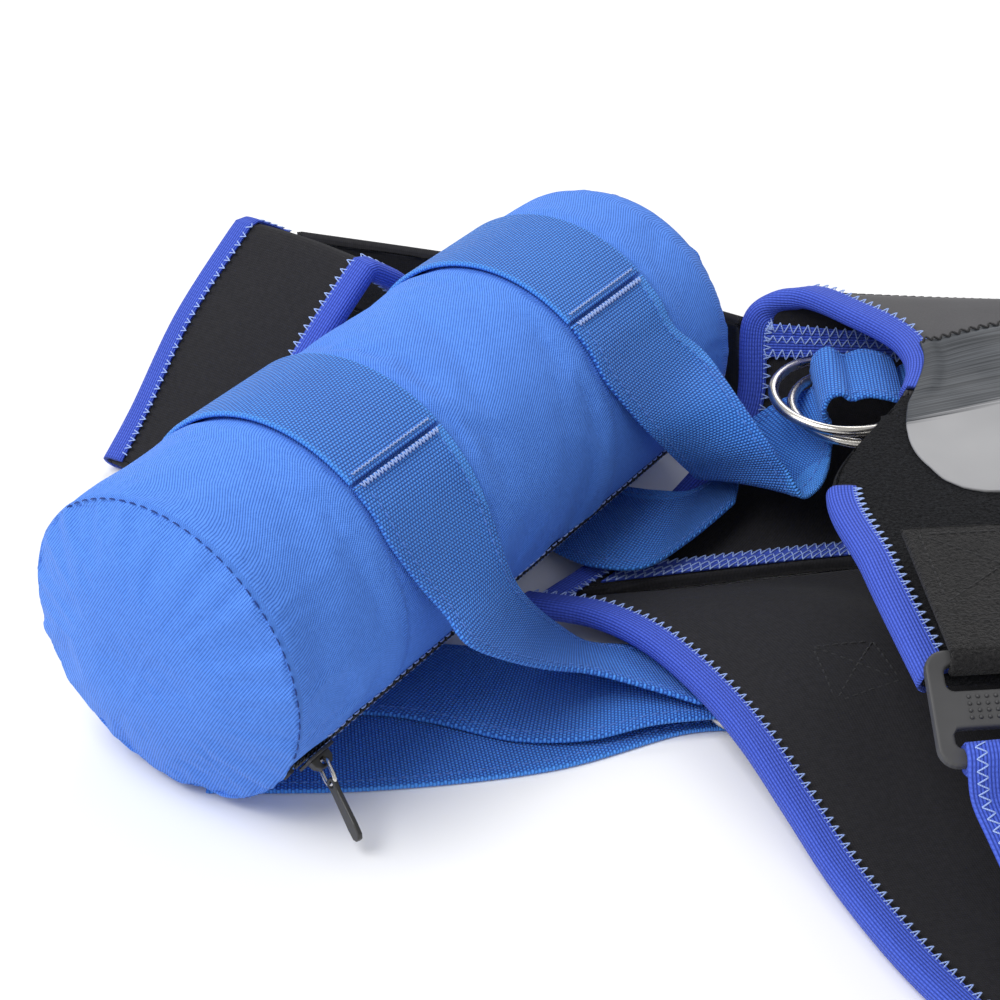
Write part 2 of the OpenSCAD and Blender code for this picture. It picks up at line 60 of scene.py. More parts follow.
# ---- the pattern's frame: millimetres, as in the CAD source ----
ORIGIN = np.array([182.5, 61.4, 0.0])
ROLL_R, ROLL_LEN, AXIS_Z, ROLL_DIR, BELLY_Z = 45.0, 214.0, 45.0, math.radians(55), 3.6
FAR_ROUND = 2.4   # how much the roll's far end turns in before its seam
WEB_T, BAND_R, BAND_Z = 1.6, 46.3, 2.6   # webbing, and its middle where it goes round the roll
NEAR_S, FAR_S, HALF_WEB = 64, 165, 19   # the two bands, along the roll
BAR_A, UNDER_A, ZIP_A = 36, 158, 124.5   # degrees round the roll: front bar tack, under bar tack, zipper
NEO, BIND_OUT, BIND_IN, BIND_DEPTH = 4.0, 3.3, 2.25, 7.0   # neoprene, and the binding round its edge
CLOSURE_AT, CLOSURE_TURN = [216, -29, 67.2], math.radians(5)   # the buckle's first bar


def unit(v):
    return v / np.maximum(np.linalg.norm(v, axis=-1, keepdims=True), 1e-9)


def joined(*parts):
    """Points from their coordinates, each a number or an array."""
    return np.stack(np.broadcast_arrays(*parts), -1)


def turns(n):
    return np.linspace(0, 2 * math.pi, n, endpoint=False)


def spline(a, b, c, d, t):
    return 0.5 * (2 * b + (c - a) * t + (2 * a - 5 * b + 4 * c - d) * t**2 + (3 * b - a - 3 * c + d) * t**3)


def on_curve(points, u):
    """Points on the smooth curve through a list, at places counted in list steps."""
    p, u = np.asarray(points, float), np.atleast_1d(np.asarray(u, float))
    i = np.clip(np.floor(u).astype(int), 0, len(p) - 2)
    a, b, c, d = (p[np.clip(i + k, 0, len(p) - 1)] for k in (-1, 0, 1, 2))
    return spline(a, b, c, d, (u - i)[:, None])


def curve(points, n):
    return on_curve(points, np.linspace(0, len(points) - 1, n + 1))


def on_sheet(rows, u, v):
    """Points on the smooth sheet through rows of points, at places u along them and v across them."""
    u, v = np.broadcast_arrays(u, v)
    shape, u, v = u.shape, u.ravel(), v.ravel()
    lines = np.stack([on_curve(r, u) for r in rows])
    i, k = np.clip(np.floor(v).astype(int), 0, len(rows) - 2), np.arange(len(u))
    a, b, c, d = (lines[np.clip(i + o, 0, len(rows) - 1), k] for o in (-1, 0, 1, 2))
    return spline(a, b, c, d, (v - i)[:, None]).reshape(shape + (3,))


def grid_over(rows, u0, u1, nu, nv, v0=0, v1=None):
    v1 = len(rows) - 1 if v1 is None else v1
    return on_sheet(rows, np.linspace(u0, u1, nu + 1)[None], np.linspace(v0, v1, nv + 1)[:, None])


def normals(g):
    return unit(np.cross(np.gradient(g, axis=1), np.gradient(g, axis=0)))


def roll_point(s, a, r):
    """Point at distance r from the roll's axis, s along it, a degrees from the top to the front."""
    a, c, k = np.radians(a), math.cos(ROLL_DIR), math.sin(ROLL_DIR)
    return joined(s * c + r * np.sin(a) * k, s * k - r * np.sin(a) * c, AXIS_Z + r * np.cos(a))


ALONG = np.array([math.cos(ROLL_DIR), math.sin(ROLL_DIR), 0])
OUT = roll_point(0, ZIP_A, 1) - [0, 0, AXIS_Z]
ROUND = np.cross(ALONG, OUT)


def on_zip(p):
    """Zipper frame: x out of the roll, y round it, z along it."""
    p = np.asarray(p, float)
    return np.array([0, 0, AXIS_Z]) + p[..., :1] * OUT + p[..., 1:2] * ROUND + p[..., 2:3] * ALONG


def closure_frame(tilt):
    """Frame of the closure buckle: x along its bars, y across them."""
    turn, tilt = CLOSURE_TURN, math.radians(tilt)

    def place(p):
        x, y, z = np.moveaxis(np.asarray(p, float), -1, 0)
        y, z = y * math.cos(tilt) - z * math.sin(tilt), y * math.sin(tilt) + z * math.cos(tilt)
        x, y = x * math.cos(turn) - y * math.sin(turn), x * math.sin(turn) + y * math.cos(turn)
        return joined(x, y, z) + CLOSURE_AT

    return place


# ---- meshes ----
def add(name, points, faces, material, body="sling", slot=None, nodes=(), lay=None, smooth=True):
    """A piece from points in the pattern's frame. lay holds its cloth coordinates, in metres."""
    mesh = bpy.data.meshes.new(name)
    mesh.from_pydata(((np.asarray(points, float) - ORIGIN) / 1000).tolist(), [], faces)
    if lay is not None:
        mesh.attributes.new("lay", "FLOAT_VECTOR", "POINT").data.foreach_set(
            "vector", np.asarray(lay, np.float32).ravel())
    bm = bmesh.new()
    bm.from_mesh(mesh)
    bmesh.ops.recalc_face_normals(bm, faces=bm.faces)
    bm.to_mesh(mesh)
    bm.free()
    mesh.polygons.foreach_set("use_smooth", [smooth] * len(mesh.polygons))
    mesh.materials.append(material)
    ob = bpy.data.objects.new(name, mesh)
    scene.collection.objects.link(ob)
    if isinstance(body, tuple):
        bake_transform(ob)
    elif body:
        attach(ob, body)
    if nodes:
        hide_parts(*nodes)
    return ob


def wrapped(at):
    """Repeats the first column of a grid of vertex numbers after its last."""
    return np.concatenate([at, at[..., :1]], -1)


def quads(at):
    return np.stack([at[:-1, :-1], at[:-1, 1:], at[1:, 1:], at[1:, :-1]], -1).reshape(-1, 4).tolist()


RIM = np.radians([0, 35, 65, 90])


def rim(g, r, axis):
    """Adds the lines that a rounded edge needs. Returns the grid and each line's share of the thickness."""
    g = np.moveaxis(g, axis, 0)
    step = (r * (1 - np.cos(RIM))).reshape(-1, 1, 1)
    first, last = g[0] + unit(g[1] - g[0]) * step, (g[-1] + unit(g[-2] - g[-1]) * step)[::-1]
    share = np.concatenate([np.sin(RIM), np.ones(len(g) - 2), np.sin(RIM)[::-1]])
    return np.moveaxis(np.concatenate([first, g[1:-1], last]), 0, axis), share


def lengths(g, axis):
    d = np.linalg.norm(np.diff(g, axis=axis), axis=-1)
    pad = np.zeros_like(np.take(d, [0], axis))
    return np.cumsum(np.concatenate([pad, d], axis), axis)


def slab(name, g, t, material, **kw):
    """Closed sheet of thickness t about a grid, with rounded edges."""
    g, hv = rim(g, t / 2, 0)
    g, hu = rim(g, t / 2, 1)
    h, n = hv[:, None] * hu[None] * t / 2, normals(g)
    top = np.arange(h.size).reshape(h.shape)
    inside = h > 1e-9
    low = top.copy()
    low[inside] = h.size + np.arange(inside.sum())
    up, down = g + n * h[..., None], g - n * h[..., None]
    u = lengths(g, 1)
    lay = joined(u - u.mean(), lengths(g, 0).mean(1, keepdims=True), 0.0) / 1000
    points = np.concatenate([up.reshape(-1, 3), down[inside]])
    return add(name, points, quads(top) + quads(low), material,
               lay=np.concatenate([lay.reshape(-1, 3), lay[inside]]), **kw)


def strap_grid(left, right, n, across=12, bow=0.3):
    a, b = (curve(x, n) for x in (left, right))
    w = np.linspace(0, 1, across + 1)[None, :, None]
    g = a[:, None] * (1 - w) + b[:, None] * w
    return g + normals(g) * bow * (1 - (2 * w - 1) ** 2)


def sweep(name, line, inward, up, profile, material, closed=False, **kw):
    """A closed profile of (inward, up) points carried along a line."""
    p = line[:, None] + inward[:, None] * profile[None, :, :1] + up[:, None] * profile[None, :, 1:]
    k, m = p.shape[:2]
    at = wrapped(np.arange(k * m).reshape(k, m))
    if closed:
        at = np.concatenate([at, at[:1]])
    faces = quads(at)
    if not closed:
        faces += [at[0, :-1].tolist(), at[-1, :-1].tolist()]
    round_it = lengths(np.concatenate([profile, profile[:1]]), 0)[:-1]
    lay = joined(round_it[None], lengths(line, 0)[:, None], 0.0) / 1000
    return add(name, p.reshape(-1, 3), faces, material, lay=lay.reshape(-1, 3), **kw)


def circle(r, m=8, squeeze=1.0):
    return joined(r * np.cos(turns(m)), r * squeeze * np.sin(turns(m)))


def tube(name, line, r, side, material, closed=False, m=8, **kw):
    """A wire of radius r. side is a direction that the line never follows."""
    line = np.asarray(line, float)
    step = (np.roll(line, -1, 0) - np.roll(line, 1, 0)) if closed else np.gradient(line, axis=0)
    a = unit(np.cross(unit(step), np.asarray(side, float)))
    return sweep(name, line, a, unit(np.cross(step, a)), circle(r, m), material, closed, **kw)


def plate(name, loops, low, high, place, material, bevel=0.3, segments=2, **kw):
    """A flat plate from its outline and holes, between two heights, with rounded edges."""
    bm = bmesh.new()
    edges = []
    for loop in loops:
        vs = [bm.verts.new((x, y, low)) for x, y in loop]
        edges += [bm.edges.new((vs[i], vs[(i + 1) % len(vs)])) for i in range(len(vs))]
    bmesh.ops.triangle_fill(bm, use_beauty=True, use_dissolve=False, edges=edges)
    made = bmesh.ops.extrude_face_region(bm, geom=bm.faces[:])
    for v in made["geom"]:
        if isinstance(v, bmesh.types.BMVert):
            v.co.z = high
    bm.verts.ensure_lookup_table()
    points = np.array([v.co for v in bm.verts])
    index = {v: i for i, v in enumerate(bm.verts)}
    faces = [[index[v] for v in f.verts] for f in bm.faces]
    bm.free()
    ob = add(name, place(points), faces, material, smooth=False, lay=points / 1000, **kw)
    mod = ob.modifiers.new("edges", "BEVEL")
    mod.width, mod.segments = bevel / 1000, segments
    mod.limit_method, mod.angle_limit = "ANGLE", math.radians(35)
    return ob


def rounded(w, h, r, cx=0.0, cy=0.0, steps=5):
    out = []
    for k, (sx, sy) in enumerate([(1, 1), (-1, 1), (-1, -1), (1, -1)]):
        for a in np.linspace(0, math.pi / 2, steps):
            a += k * math.pi / 2
            out.append((cx + sx * (w / 2 - r) + r * math.cos(a), cy + sy * (h / 2 - r) + r * math.sin(a)))
    return out


# ---- stitching ----
def sample(line, at, *fields):
    d = lengths(line, 0)
    return [np.stack([np.interp(at, d, f[:, k]) for k in range(3)], 1) for f in (line, *fields)]


def dashes(line, up, pitch, fill=0.72, start=1.0):
    at = np.arange(start, lengths(line, 0)[-1] - pitch, pitch)
    (a, na), (b, _) = sample(line, at, up), sample(line, at + pitch * fill, up)
    return a, b, unit(na)


def zigzag(line, inward, up, near, far, pitch, low, high):
    """Zigzag between near and far in from a line, at those two heights above it."""
    at = np.arange(0.8, lengths(line, 0)[-1] - 0.8, pitch / 2)
    p, i, n = sample(line, at, inward, up)
    odd = (np.arange(len(at)) % 2)[:, None]
    q = p + i * np.where(odd, near, far) + n * np.where(odd, high, low)
    return q[:-1], q[1:], unit(n[:-1])


def threads(name, sets, r, material, arch=0.12, **kw):
    """One mesh of sewn threads: each bows up between the two points where it goes into the cloth."""
    a, b, up = (np.concatenate([s[k] for s in sets]) for k in range(3))
    t = b - a
    side = unit(np.cross(up, unit(t)))
    up = unit(np.cross(unit(t), side))
    m = 6
    ring = turns(m)
    share = np.array([0, 0.12, 0.5, 0.88, 1])
    lift = np.array([-0.9, 0.5, 1, 0.5, -0.9]) * arch
    size = np.array([0.6, 0.95, 1.1, 0.95, 0.6]) * r
    centre = a[:, None] + t[:, None] * share[None, :, None] + up[:, None] * lift[None, :, None]
    spoke = side[:, None] * np.cos(ring)[None, :, None] + up[:, None] * np.sin(ring)[None, :, None]
    p = centre[:, :, None] + spoke[:, None] * size[None, :, None, None]
    k, stations = len(a), len(share)
    at = wrapped(np.arange(k * stations * m).reshape(k, stations, m))
    faces = [f for one in at for f in quads(one)]
    faces += at[:, 0, :m].tolist() + at[:, -1, :m].tolist()
    lay = np.broadcast_to(np.stack([0 * share, share * 0.004, 0 * share], -1)[None, :, None], p.shape)
    return add(name, p.reshape(-1, 3), faces, material, lay=lay.reshape(-1, 3), **kw)


# ---- materials ----
class Paint:
    """Short way to write a node material."""

    def __init__(self, name, rough=0.8, sheen=0.0, specular=0.3, metallic=0.0, coat=0.0):
        self.mat = bpy.data.materials.new(name)
        self.mat.use_nodes = True
        self.tree = self.mat.node_tree
        self.shader = self.tree.nodes["Principled BSDF"]
        for key, value in (("Roughness", rough), ("Sheen Weight", sheen), ("Specular IOR Level", specular),
                           ("Metallic", metallic), ("Coat Weight", coat)):
            self.shader.inputs[key].default_value = value

    def node(self, kind, **inputs):
        n = self.tree.nodes.new("ShaderNode" + kind)
        for key, value in inputs.items():
            setattr(n, key, value)
        return n

    def put(self, socket, value):
        if isinstance(value, bpy.types.NodeSocket):
            self.tree.links.new(value, socket)
        else:
            socket.default_value = value

    def math(self, op, a, b=None, c=None):
        n = self.node("Math", operation=op)
        for k, value in enumerate((a, b, c)):
            if value is not None:
                self.put(n.inputs[k], value)
        return n.outputs[0]

    def mul(self, a, b):
        return self.math("MULTIPLY", a, b)

    def mul_add(self, a, b, c):
        return self.math("MULTIPLY_ADD", a, b, c)

    def lay(self):
        """The surface's cloth coordinates: across it and along it, in metres."""
        n = self.node("Attribute", attribute_name="lay")
        split = self.node("SeparateXYZ")
        self.put(split.inputs[0], n.outputs["Vector"])
        return split.outputs[0], split.outputs[1]

    def join(self, x, y, z=0.0):
        n = self.node("CombineXYZ")
        for k, value in enumerate((x, y, z)):
            self.put(n.inputs[k], value)
        return n.outputs[0]

    def noise(self, scale, detail=2.0, vector=None, rough=0.5):
        n = self.node("TexNoise")
        self.put(n.inputs["Vector"], vector if vector else self.node("TexCoord").outputs["Object"])
        n.inputs["Scale"].default_value, n.inputs["Detail"].default_value = scale, detail
        n.inputs["Roughness"].default_value = rough
        return n.outputs["Fac"]

    def hump(self, x, period, power=1.0):
        """0 to 1 and back over each period."""
        s = self.math("ABSOLUTE", self.math("SINE", self.mul(x, math.pi / period)))
        return s if power == 1.0 else self.math("POWER", s, power)

    def mix(self, share, a, b):
        n = self.node("Mix", data_type="RGBA")
        self.put(n.inputs[0], share)
        for socket, value in ((n.inputs[6], a), (n.inputs[7], b)):
            self.put(socket, value if isinstance(value, bpy.types.NodeSocket) else (*value, 1))
        return n.outputs[2]

    def spread(self, x, low, high, to_low=0.0, to_high=1.0):
        n = self.node("MapRange", clamp=True)
        for k, value in enumerate((x, low, high, to_low, to_high)):
            self.put(n.inputs[k], value)
        return n.outputs[0]

    def colour(self, value):
        self.put(self.shader.inputs["Base Color"], value)

    def rough(self, x, low, high):
        self.put(self.shader.inputs["Roughness"], self.spread(x, 0.3, 0.7, low, high))

    def bump(self, height, depth, strength=1.0):
        n = self.node("Bump")
        n.inputs["Strength"].default_value, n.inputs["Distance"].default_value = strength, depth
        self.put(n.inputs["Height"], height)
        self.put(self.shader.inputs["Normal"], n.outputs[0])


def cloth(name, dark, light, relief, depth, rough=(0.75, 0.9), sheen=0.1, blotch=30, blotchy=0.35, **kw):
    """Cloth: colour follows the weave's relief, as painted shade in its grooves, and a slow variation, which also
    moves the roughness.
    """
    p = Paint(name, sheen=sheen, **kw)
    p.shader.inputs["Sheen Roughness"].default_value = 0.4
    height = relief(p)
    slow = p.noise(blotch, 3)
    # painted shade: the weave's low parts take the dark colour and its high parts the light one; the slow noise adds
    # real tone
    share = p.mul_add(p.math("SUBTRACT", slow, 0.5), blotchy, height)
    p.colour(p.mix(p.spread(share, 0, 1), dark, light))
    p.rough(slow, *rough)
    p.bump(height, depth)
    return p.mat


def webbing_weave(p):
    x, y = p.lay()
    row = p.math("FLOOR", p.math("DIVIDE", y, 0.00095))
    shift = p.mul(p.math("MODULO", row, 2.0), 0.00055)
    beads = p.mul(p.hump(p.math("ADD", x, shift), 0.0011, 0.8), p.hump(y, 0.00095, 0.7))
    # painted highlight: both edges of the strap are lightened
    edge_highlight = p.spread(p.math("ABSOLUTE", x), 0.0178, 0.0184, 0.0, 0.35)   # the strap is 0.038 wide
    body = p.mul_add(p.noise(1500, 1), 0.2, p.mul(beads, 0.9))
    return p.math("ADD", body, edge_highlight)


def twill_weave(p):
    x, y = p.lay()
    lines = p.hump(p.mul_add(y, 0.6, x), 0.00085)
    fine = p.hump(p.math("SUBTRACT", y, x), 0.0006)
    body = p.mul_add(lines, 0.6, p.mul(fine, 0.25))
    return p.spread(p.mul_add(p.noise(900, 2), 0.35, body), 0.2, 1.05)


def rib_knit(p):
    x, y = p.lay()
    ribs = p.hump(x, 0.00088, 0.8)
    holes = p.hump(y, 0.0013)
    body = p.mul(ribs, p.mul_add(holes, 0.4, 0.6))
    return p.mul_add(p.noise(1200, 1), 0.25, p.mul(body, 0.85))


def jersey_knit(p):
    x, y = p.lay()
    grid = p.mul(p.hump(x, 0.0007), p.hump(y, 0.0008))
    return p.mul_add(p.noise(700, 2), 0.6, p.mul(grid, 0.35))


def brushed(p):
    return p.spread(p.noise(1100, 3, rough=0.7), 0.32, 0.68)


def smooth_skin(p):
    return p.noise(2200, 2)


def tape_weave(p):
    x, y = p.lay()
    return p.mul(p.hump(x, 0.0006), p.hump(y, 0.0007))


def spun(p):
    _, y = p.lay()
    return p.mul_add(p.hump(y, 0.0006), 0.6, p.mul(p.noise(3000, 1), 0.4))


COVER = cloth("cover_twill", (0.022, 0.100, 0.500), (0.125, 0.340, 1.000), twill_weave, 0.00016,
              rough=(0.6, 0.75), sheen=0.04, blotch=18, blotchy=0.25, specular=0.25)
WEBBING = cloth("webbing", (0.002, 0.026, 0.330), (0.080, 0.345, 1.000), webbing_weave, 0.0005,
                rough=(0.5, 0.65), sheen=0.08, blotchy=0.25, specular=0.35)
BINDING = cloth("binding_knit", (0.014, 0.032, 0.300), (0.085, 0.155, 0.740), rib_knit, 0.00035,
                rough=(0.6, 0.78), sheen=0.04, blotchy=0.2, specular=0.2)
NEOPRENE = cloth("neoprene_knit", (0.010, 0.010, 0.012), (0.033, 0.032, 0.036), jersey_knit, 0.00022,
                 rough=(0.8, 0.95), sheen=0.05, specular=0.2)
SKIN = cloth("neoprene_smooth", (0.045, 0.044, 0.048), (0.075, 0.073, 0.080), smooth_skin, 0.00004,
             rough=(0.5, 0.65), blotchy=0.5)
PLUSH = cloth("plush_loop", (0.003, 0.003, 0.004), (0.022, 0.023, 0.027), brushed, 0.0007,
              rough=(0.9, 1.0), sheen=0.03, blotchy=0.3, specular=0.1)
HOOK = cloth("hook_tape", (0.007, 0.007, 0.008), (0.030, 0.029, 0.030), brushed, 0.0006,
             rough=(0.85, 0.95), sheen=0.08, specular=0.2)
ZIP_TAPE = cloth("zipper_tape", (0.004, 0.004, 0.005), (0.022, 0.022, 0.024), tape_weave, 0.0001)
THREAD = cloth("thread_pale_blue", (0.230, 0.340, 0.760), (0.440, 0.580, 0.930), spun, 0.0001, blotchy=0.5)
THREAD_BLUE = cloth("thread_blue", (0.030, 0.100, 0.440), (0.130, 0.310, 0.800), spun, 0.0001)
THREAD_DARK = cloth("thread_navy", (0.006, 0.022, 0.130), (0.020, 0.070, 0.330), spun, 0.0001)
THREAD_BLACK = cloth("thread_black", (0.006, 0.006, 0.007), (0.045, 0.045, 0.048), spun, 0.0001)


def hard(name, dark, light, rough, scale, depth, **kw):
    """Moulded plastic, paint or plated wire: fine grain, with slow handling marks in the gloss."""
    p = Paint(name, **kw)
    slow, grain = p.noise(60, 3), p.noise(scale, 2)
    p.colour(p.mix(slow, dark, light))
    p.rough(slow, *rough)
    p.bump(grain, depth, 0.6)
    return p.mat


NICKEL = hard("nickel_wire", (0.50, 0.48, 0.45), (0.80, 0.77, 0.72), (0.14, 0.32), 900, 0.00002, metallic=1.0)
COIL = hard("nylon_coil", (0.006, 0.006, 0.007), (0.016, 0.016, 0.018), (0.25, 0.4), 1500, 0.00002, specular=0.5)
PAINTED = hard("black_zinc", (0.012, 0.012, 0.013), (0.035, 0.034, 0.033), (0.28, 0.45), 1200, 0.00002,
               specular=0.5, coat=0.2)
MOULDED = hard("moulded_nylon", (0.045, 0.045, 0.047), (0.085, 0.085, 0.088), (0.4, 0.55), 1600, 0.00003)


def label_material():
    """Grey satin patch whose upper part is printed with fine dark streaks along it."""
    p = Paint("grey_patch", rough=0.45, specular=0.25)
    x, y = p.lay()
    streaks = p.noise(1, 3, p.join(p.mul(x, 1500), p.mul(y, 18)))
    down = p.mul_add(streaks, 0.010, p.mul_add(y, 0.12, x))
    dark = p.mul(p.spread(down, -0.0345, -0.0325), p.spread(down, 0.0115, 0.0145, 1.0, 0.0))
    band = p.mix(p.spread(streaks, 0.35, 0.65), (0.012, 0.015, 0.020), (0.075, 0.082, 0.094))
    p.colour(p.mix(dark, p.mix(p.noise(40, 2), (0.27, 0.27, 0.28), (0.34, 0.34, 0.35)), band))
    p.rough(p.noise(50, 2), 0.38, 0.55)
    p.bump(p.mul(streaks, dark), 0.0001, 0.5)
    return p.mat


LABEL = label_material()


# ---- cloth simulation ----
def billow(points, wrap, pinned, pressure, grow, frames, most):
    """Inflates a grid of cloth that is held where pinned. Returns where it comes to rest, moved by most."""
    rows, cols = points.shape[:2]
    at = np.arange(rows * cols).reshape(rows, cols)
    at = wrapped(at) if wrap else at
    mesh = bpy.data.meshes.new("sim")
    mesh.from_pydata((points.reshape(-1, 3) / 1000).tolist(), [], quads(at))
    ob = bpy.data.objects.new("sim", mesh)
    scene.collection.objects.link(ob)
    group = ob.vertex_groups.new(name="held")
    group.add(np.flatnonzero(pinned.ravel()).tolist(), 1.0, "ADD")
    mod = ob.modifiers.new("cloth", "CLOTH")
    s = mod.settings
    s.quality, s.mass, s.air_damping = 6, 0.15, 2.0
    s.tension_stiffness = s.compression_stiffness = 12
    s.shear_stiffness, s.bending_stiffness = 4, 0.02
    s.vertex_group_mass, s.pin_stiffness = "held", 1.0
    s.use_pressure, s.uniform_pressure_force, s.shrink_min = True, pressure, -grow
    s.effector_weights.gravity = 0
    mod.collision_settings.use_collision = False
    mod.point_cache.frame_start, mod.point_cache.frame_end = 1, frames
    for f in range(1, frames + 1):
        scene.frame_set(f)
    made = ob.evaluated_get(bpy.context.evaluated_depsgraph_get()).to_mesh()
    co = np.zeros(rows * cols * 3, np.float32)
    made.vertices.foreach_get("co", co)
    scene.frame_set(1)
    bpy.data.objects.remove(ob)
    move = co.reshape(rows, cols, 3) * 1000.0 - points
    size = np.linalg.norm(move, axis=-1, keepdims=True)
    return points + np.where(pinned[..., None], 0, move * np.minimum(1, most / np.maximum(size, 1e-6)))


def waves(a, counts, seed):
    """Uneven ripples round a circle."""
    r = np.random.default_rng(seed)
    return sum(r.uniform(0.4, 1) * np.sin(k * a + r.uniform(0, 6.28)) for k in counts) / len(counts) ** 0.5


def flatten(p, low):
    out = p.copy()
    out[..., 2] = np.maximum(out[..., 2], low)
    return out


# ---- hand roll ----
def zip_gap(s):
    """Half the opening between the cover's two edges at the zipper."""
    return np.interp(s, [0, 1.5, 4, 9, 18, 200, 210, 214], [0.25, 1.5, 4.6, 4.9, 2.75, 2.75, 2.6, 0.25])


def cover_skin(ns=132, na=168):
    s = np.linspace(0, ROLL_LEN, ns + 1)[:, None]
    w = np.linspace(0, 1, na + 1)[None]
    lip = np.degrees(zip_gap(s) / ROLL_R)
    a = ZIP_A + lip + (360 - 2 * lip) * w
    ar = np.radians(a)
    end = np.minimum(s, ROLL_LEN - s)
    r = ROLL_R - 0.25 - 0.4 * np.exp(-end / 1.6) - FAR_ROUND * np.clip((s - ROLL_LEN + 9) / 9, 0, 1) ** 2
    gathers = np.abs(waves(ar, (13, 19, 26, 34), 3))
    r = r + gathers * (1.3 * np.exp(-s / 8) + 0.2 * np.exp(-(ROLL_LEN - s) / 6)) * (1 - np.exp(-end / 2.5))
    r = r + 0.22 * waves(ar + s * 0.05, (3, 5, 8), 5) + 0.14 * np.sin(s * 0.21 + 2 * ar)
    for middle in (NEAR_S, FAR_S):   # the bands hold the cover in
        off = np.abs(s - middle) - HALF_WEB
        r = np.where(off < 0, np.minimum(r, ROLL_R - 0.3), r + 0.35 * np.exp(-((off - 5) / 4) ** 2))
    near_zip = np.minimum(a - ZIP_A, ZIP_A + 360 - a) / 57.3 * ROLL_R - zip_gap(s)
    r = r - 1.0 * np.exp(-near_zip / 3.5)
    return flatten(roll_point(s, a, r), BELLY_Z + 0.15), near_zip, end


def cover_body():
    skin, near_zip, end = cover_skin()
    s = np.linspace(0, ROLL_LEN, len(skin))[:, None]
    held = (end < 1) | (near_zip < 2.5) | (skin[..., 2] < BELLY_Z + 1)
    for middle in (NEAR_S, FAR_S):
        held = held | (np.abs(s - middle) < HALF_WEB + 1)
    skin = flatten(billow(skin, False, np.broadcast_to(held, skin.shape[:2]), 1.2, 0.012, 16, 1.4), BELLY_Z + 0.15)
    inward = normals(skin)
    inward = inward * np.sign((inward[66, 84] * OUT).sum())   # that point lies across from the zipper
    cover = slab("cover_body", skin + inward * 0.6, 1.2, COVER, slot="cover", nodes=("roll_cover", "roll_core"))


cover_body()


def cap(name, s0, sign, depth, seam, shape, give, nodes, seed):
    """Domed end: gathered into the seam and blown out by the filling."""
    rings, around = 44, 216
    a = np.linspace(0, 360, around, endpoint=False)[None]
    t = np.linspace(0, 1, rings + 1)[:, None]
    theta = t * math.pi / 2
    r, out = seam * np.cos(theta) ** shape[0], depth * np.sin(theta) ** shape[1]
    edge = np.exp(-t * 6) * (1 - np.exp(-t * 18))
    out = out + 1.3 * waves(np.radians(a), (12, 17, 23, 31), seed) * edge + \
        0.5 * waves(np.radians(a), (2, 3, 5), seed + 1) * np.sin(theta) * (1 - t)
    g = roll_point(s0 + sign * np.maximum(out, -0.3), a, np.maximum(r, 0.02))
    g = flatten(g, BELLY_Z + 0.15)
    pinned = np.broadcast_to(t < 0.01, g.shape[:2])
    g = billow(g[:, ::-sign], True, pinned, 3.0, give[0], 22, give[1])[:, ::-sign]   # pressure acts outwards
    g = flatten(g, BELLY_Z + 0.15)[:-1]
    k = len(g) * around
    at = wrapped(np.arange(k).reshape(-1, around))
    faces = quads(at)
    for first, second, hub in ((at[-1, :-1], at[-1, 1:], k), (at[0, 1:], at[0, :-1], k + 1)):
        faces += joined(first, second, hub).tolist()
    points = np.concatenate([g.reshape(-1, 3), [g[-1].mean(0), roll_point(s0, 0, 0)]])
    flat = points @ np.stack([np.cross([0, 0, 1], ALONG), [0, 0, 1], ALONG], 1)
    ob = add(name, points, faces, COVER, slot="cover", nodes=nodes, lay=flat / 1000)


cap("cover_cap_near", 0.5, -1, 9.5, ROLL_R - 0.5, (1.0, 1.3), (0.02, 1.6), ("roll_cap_near",), 21)
cap("cover_cap_far", ROLL_LEN - 0.4, 1, 7, ROLL_R - 0.5 - FAR_ROUND, (0.7, 0.9), (0.03, 2.0), ("roll_cap_far",), 33)


def roll_stitches():
    line = roll_point(0.0, np.linspace(-42, 112, 140), 44.8)
    sets = [dashes(line, unit(line - roll_point(0, 0, 0)), 3.6, 0.6)]
    threads("cap_seam_thread", sets, 0.2, THREAD_DARK, slot="cover")
    s = np.linspace(14, ROLL_LEN - 8, 80)
    sets = []
    for side in (-1, 1):
        y = side * (zip_gap(s) + 4.6)
        line = roll_point(s, ZIP_A - np.degrees(y / ROLL_R), ROLL_R - 0.12)
        sets.append(dashes(line, np.broadcast_to(OUT, line.shape), 2.9, 0.7))
    threads("zipper_topstitch", sets, 0.22, THREAD, arch=0.15, slot="cover")


roll_stitches()

# ---- zipper ----
# distances from the roll's axis, then the slider's place along it and the pull's lean
TAPE_X, COIL_X, BLADE_X, PIN_X, SLIDER_S, LEAN = 42.6, 44.1, 45.1, 47.8, 14.0, math.radians(20)


def paint_node(name, material):
    mesh = NODES[name].data
    mesh.materials.clear()
    mesh.materials.append(material)
    return mesh


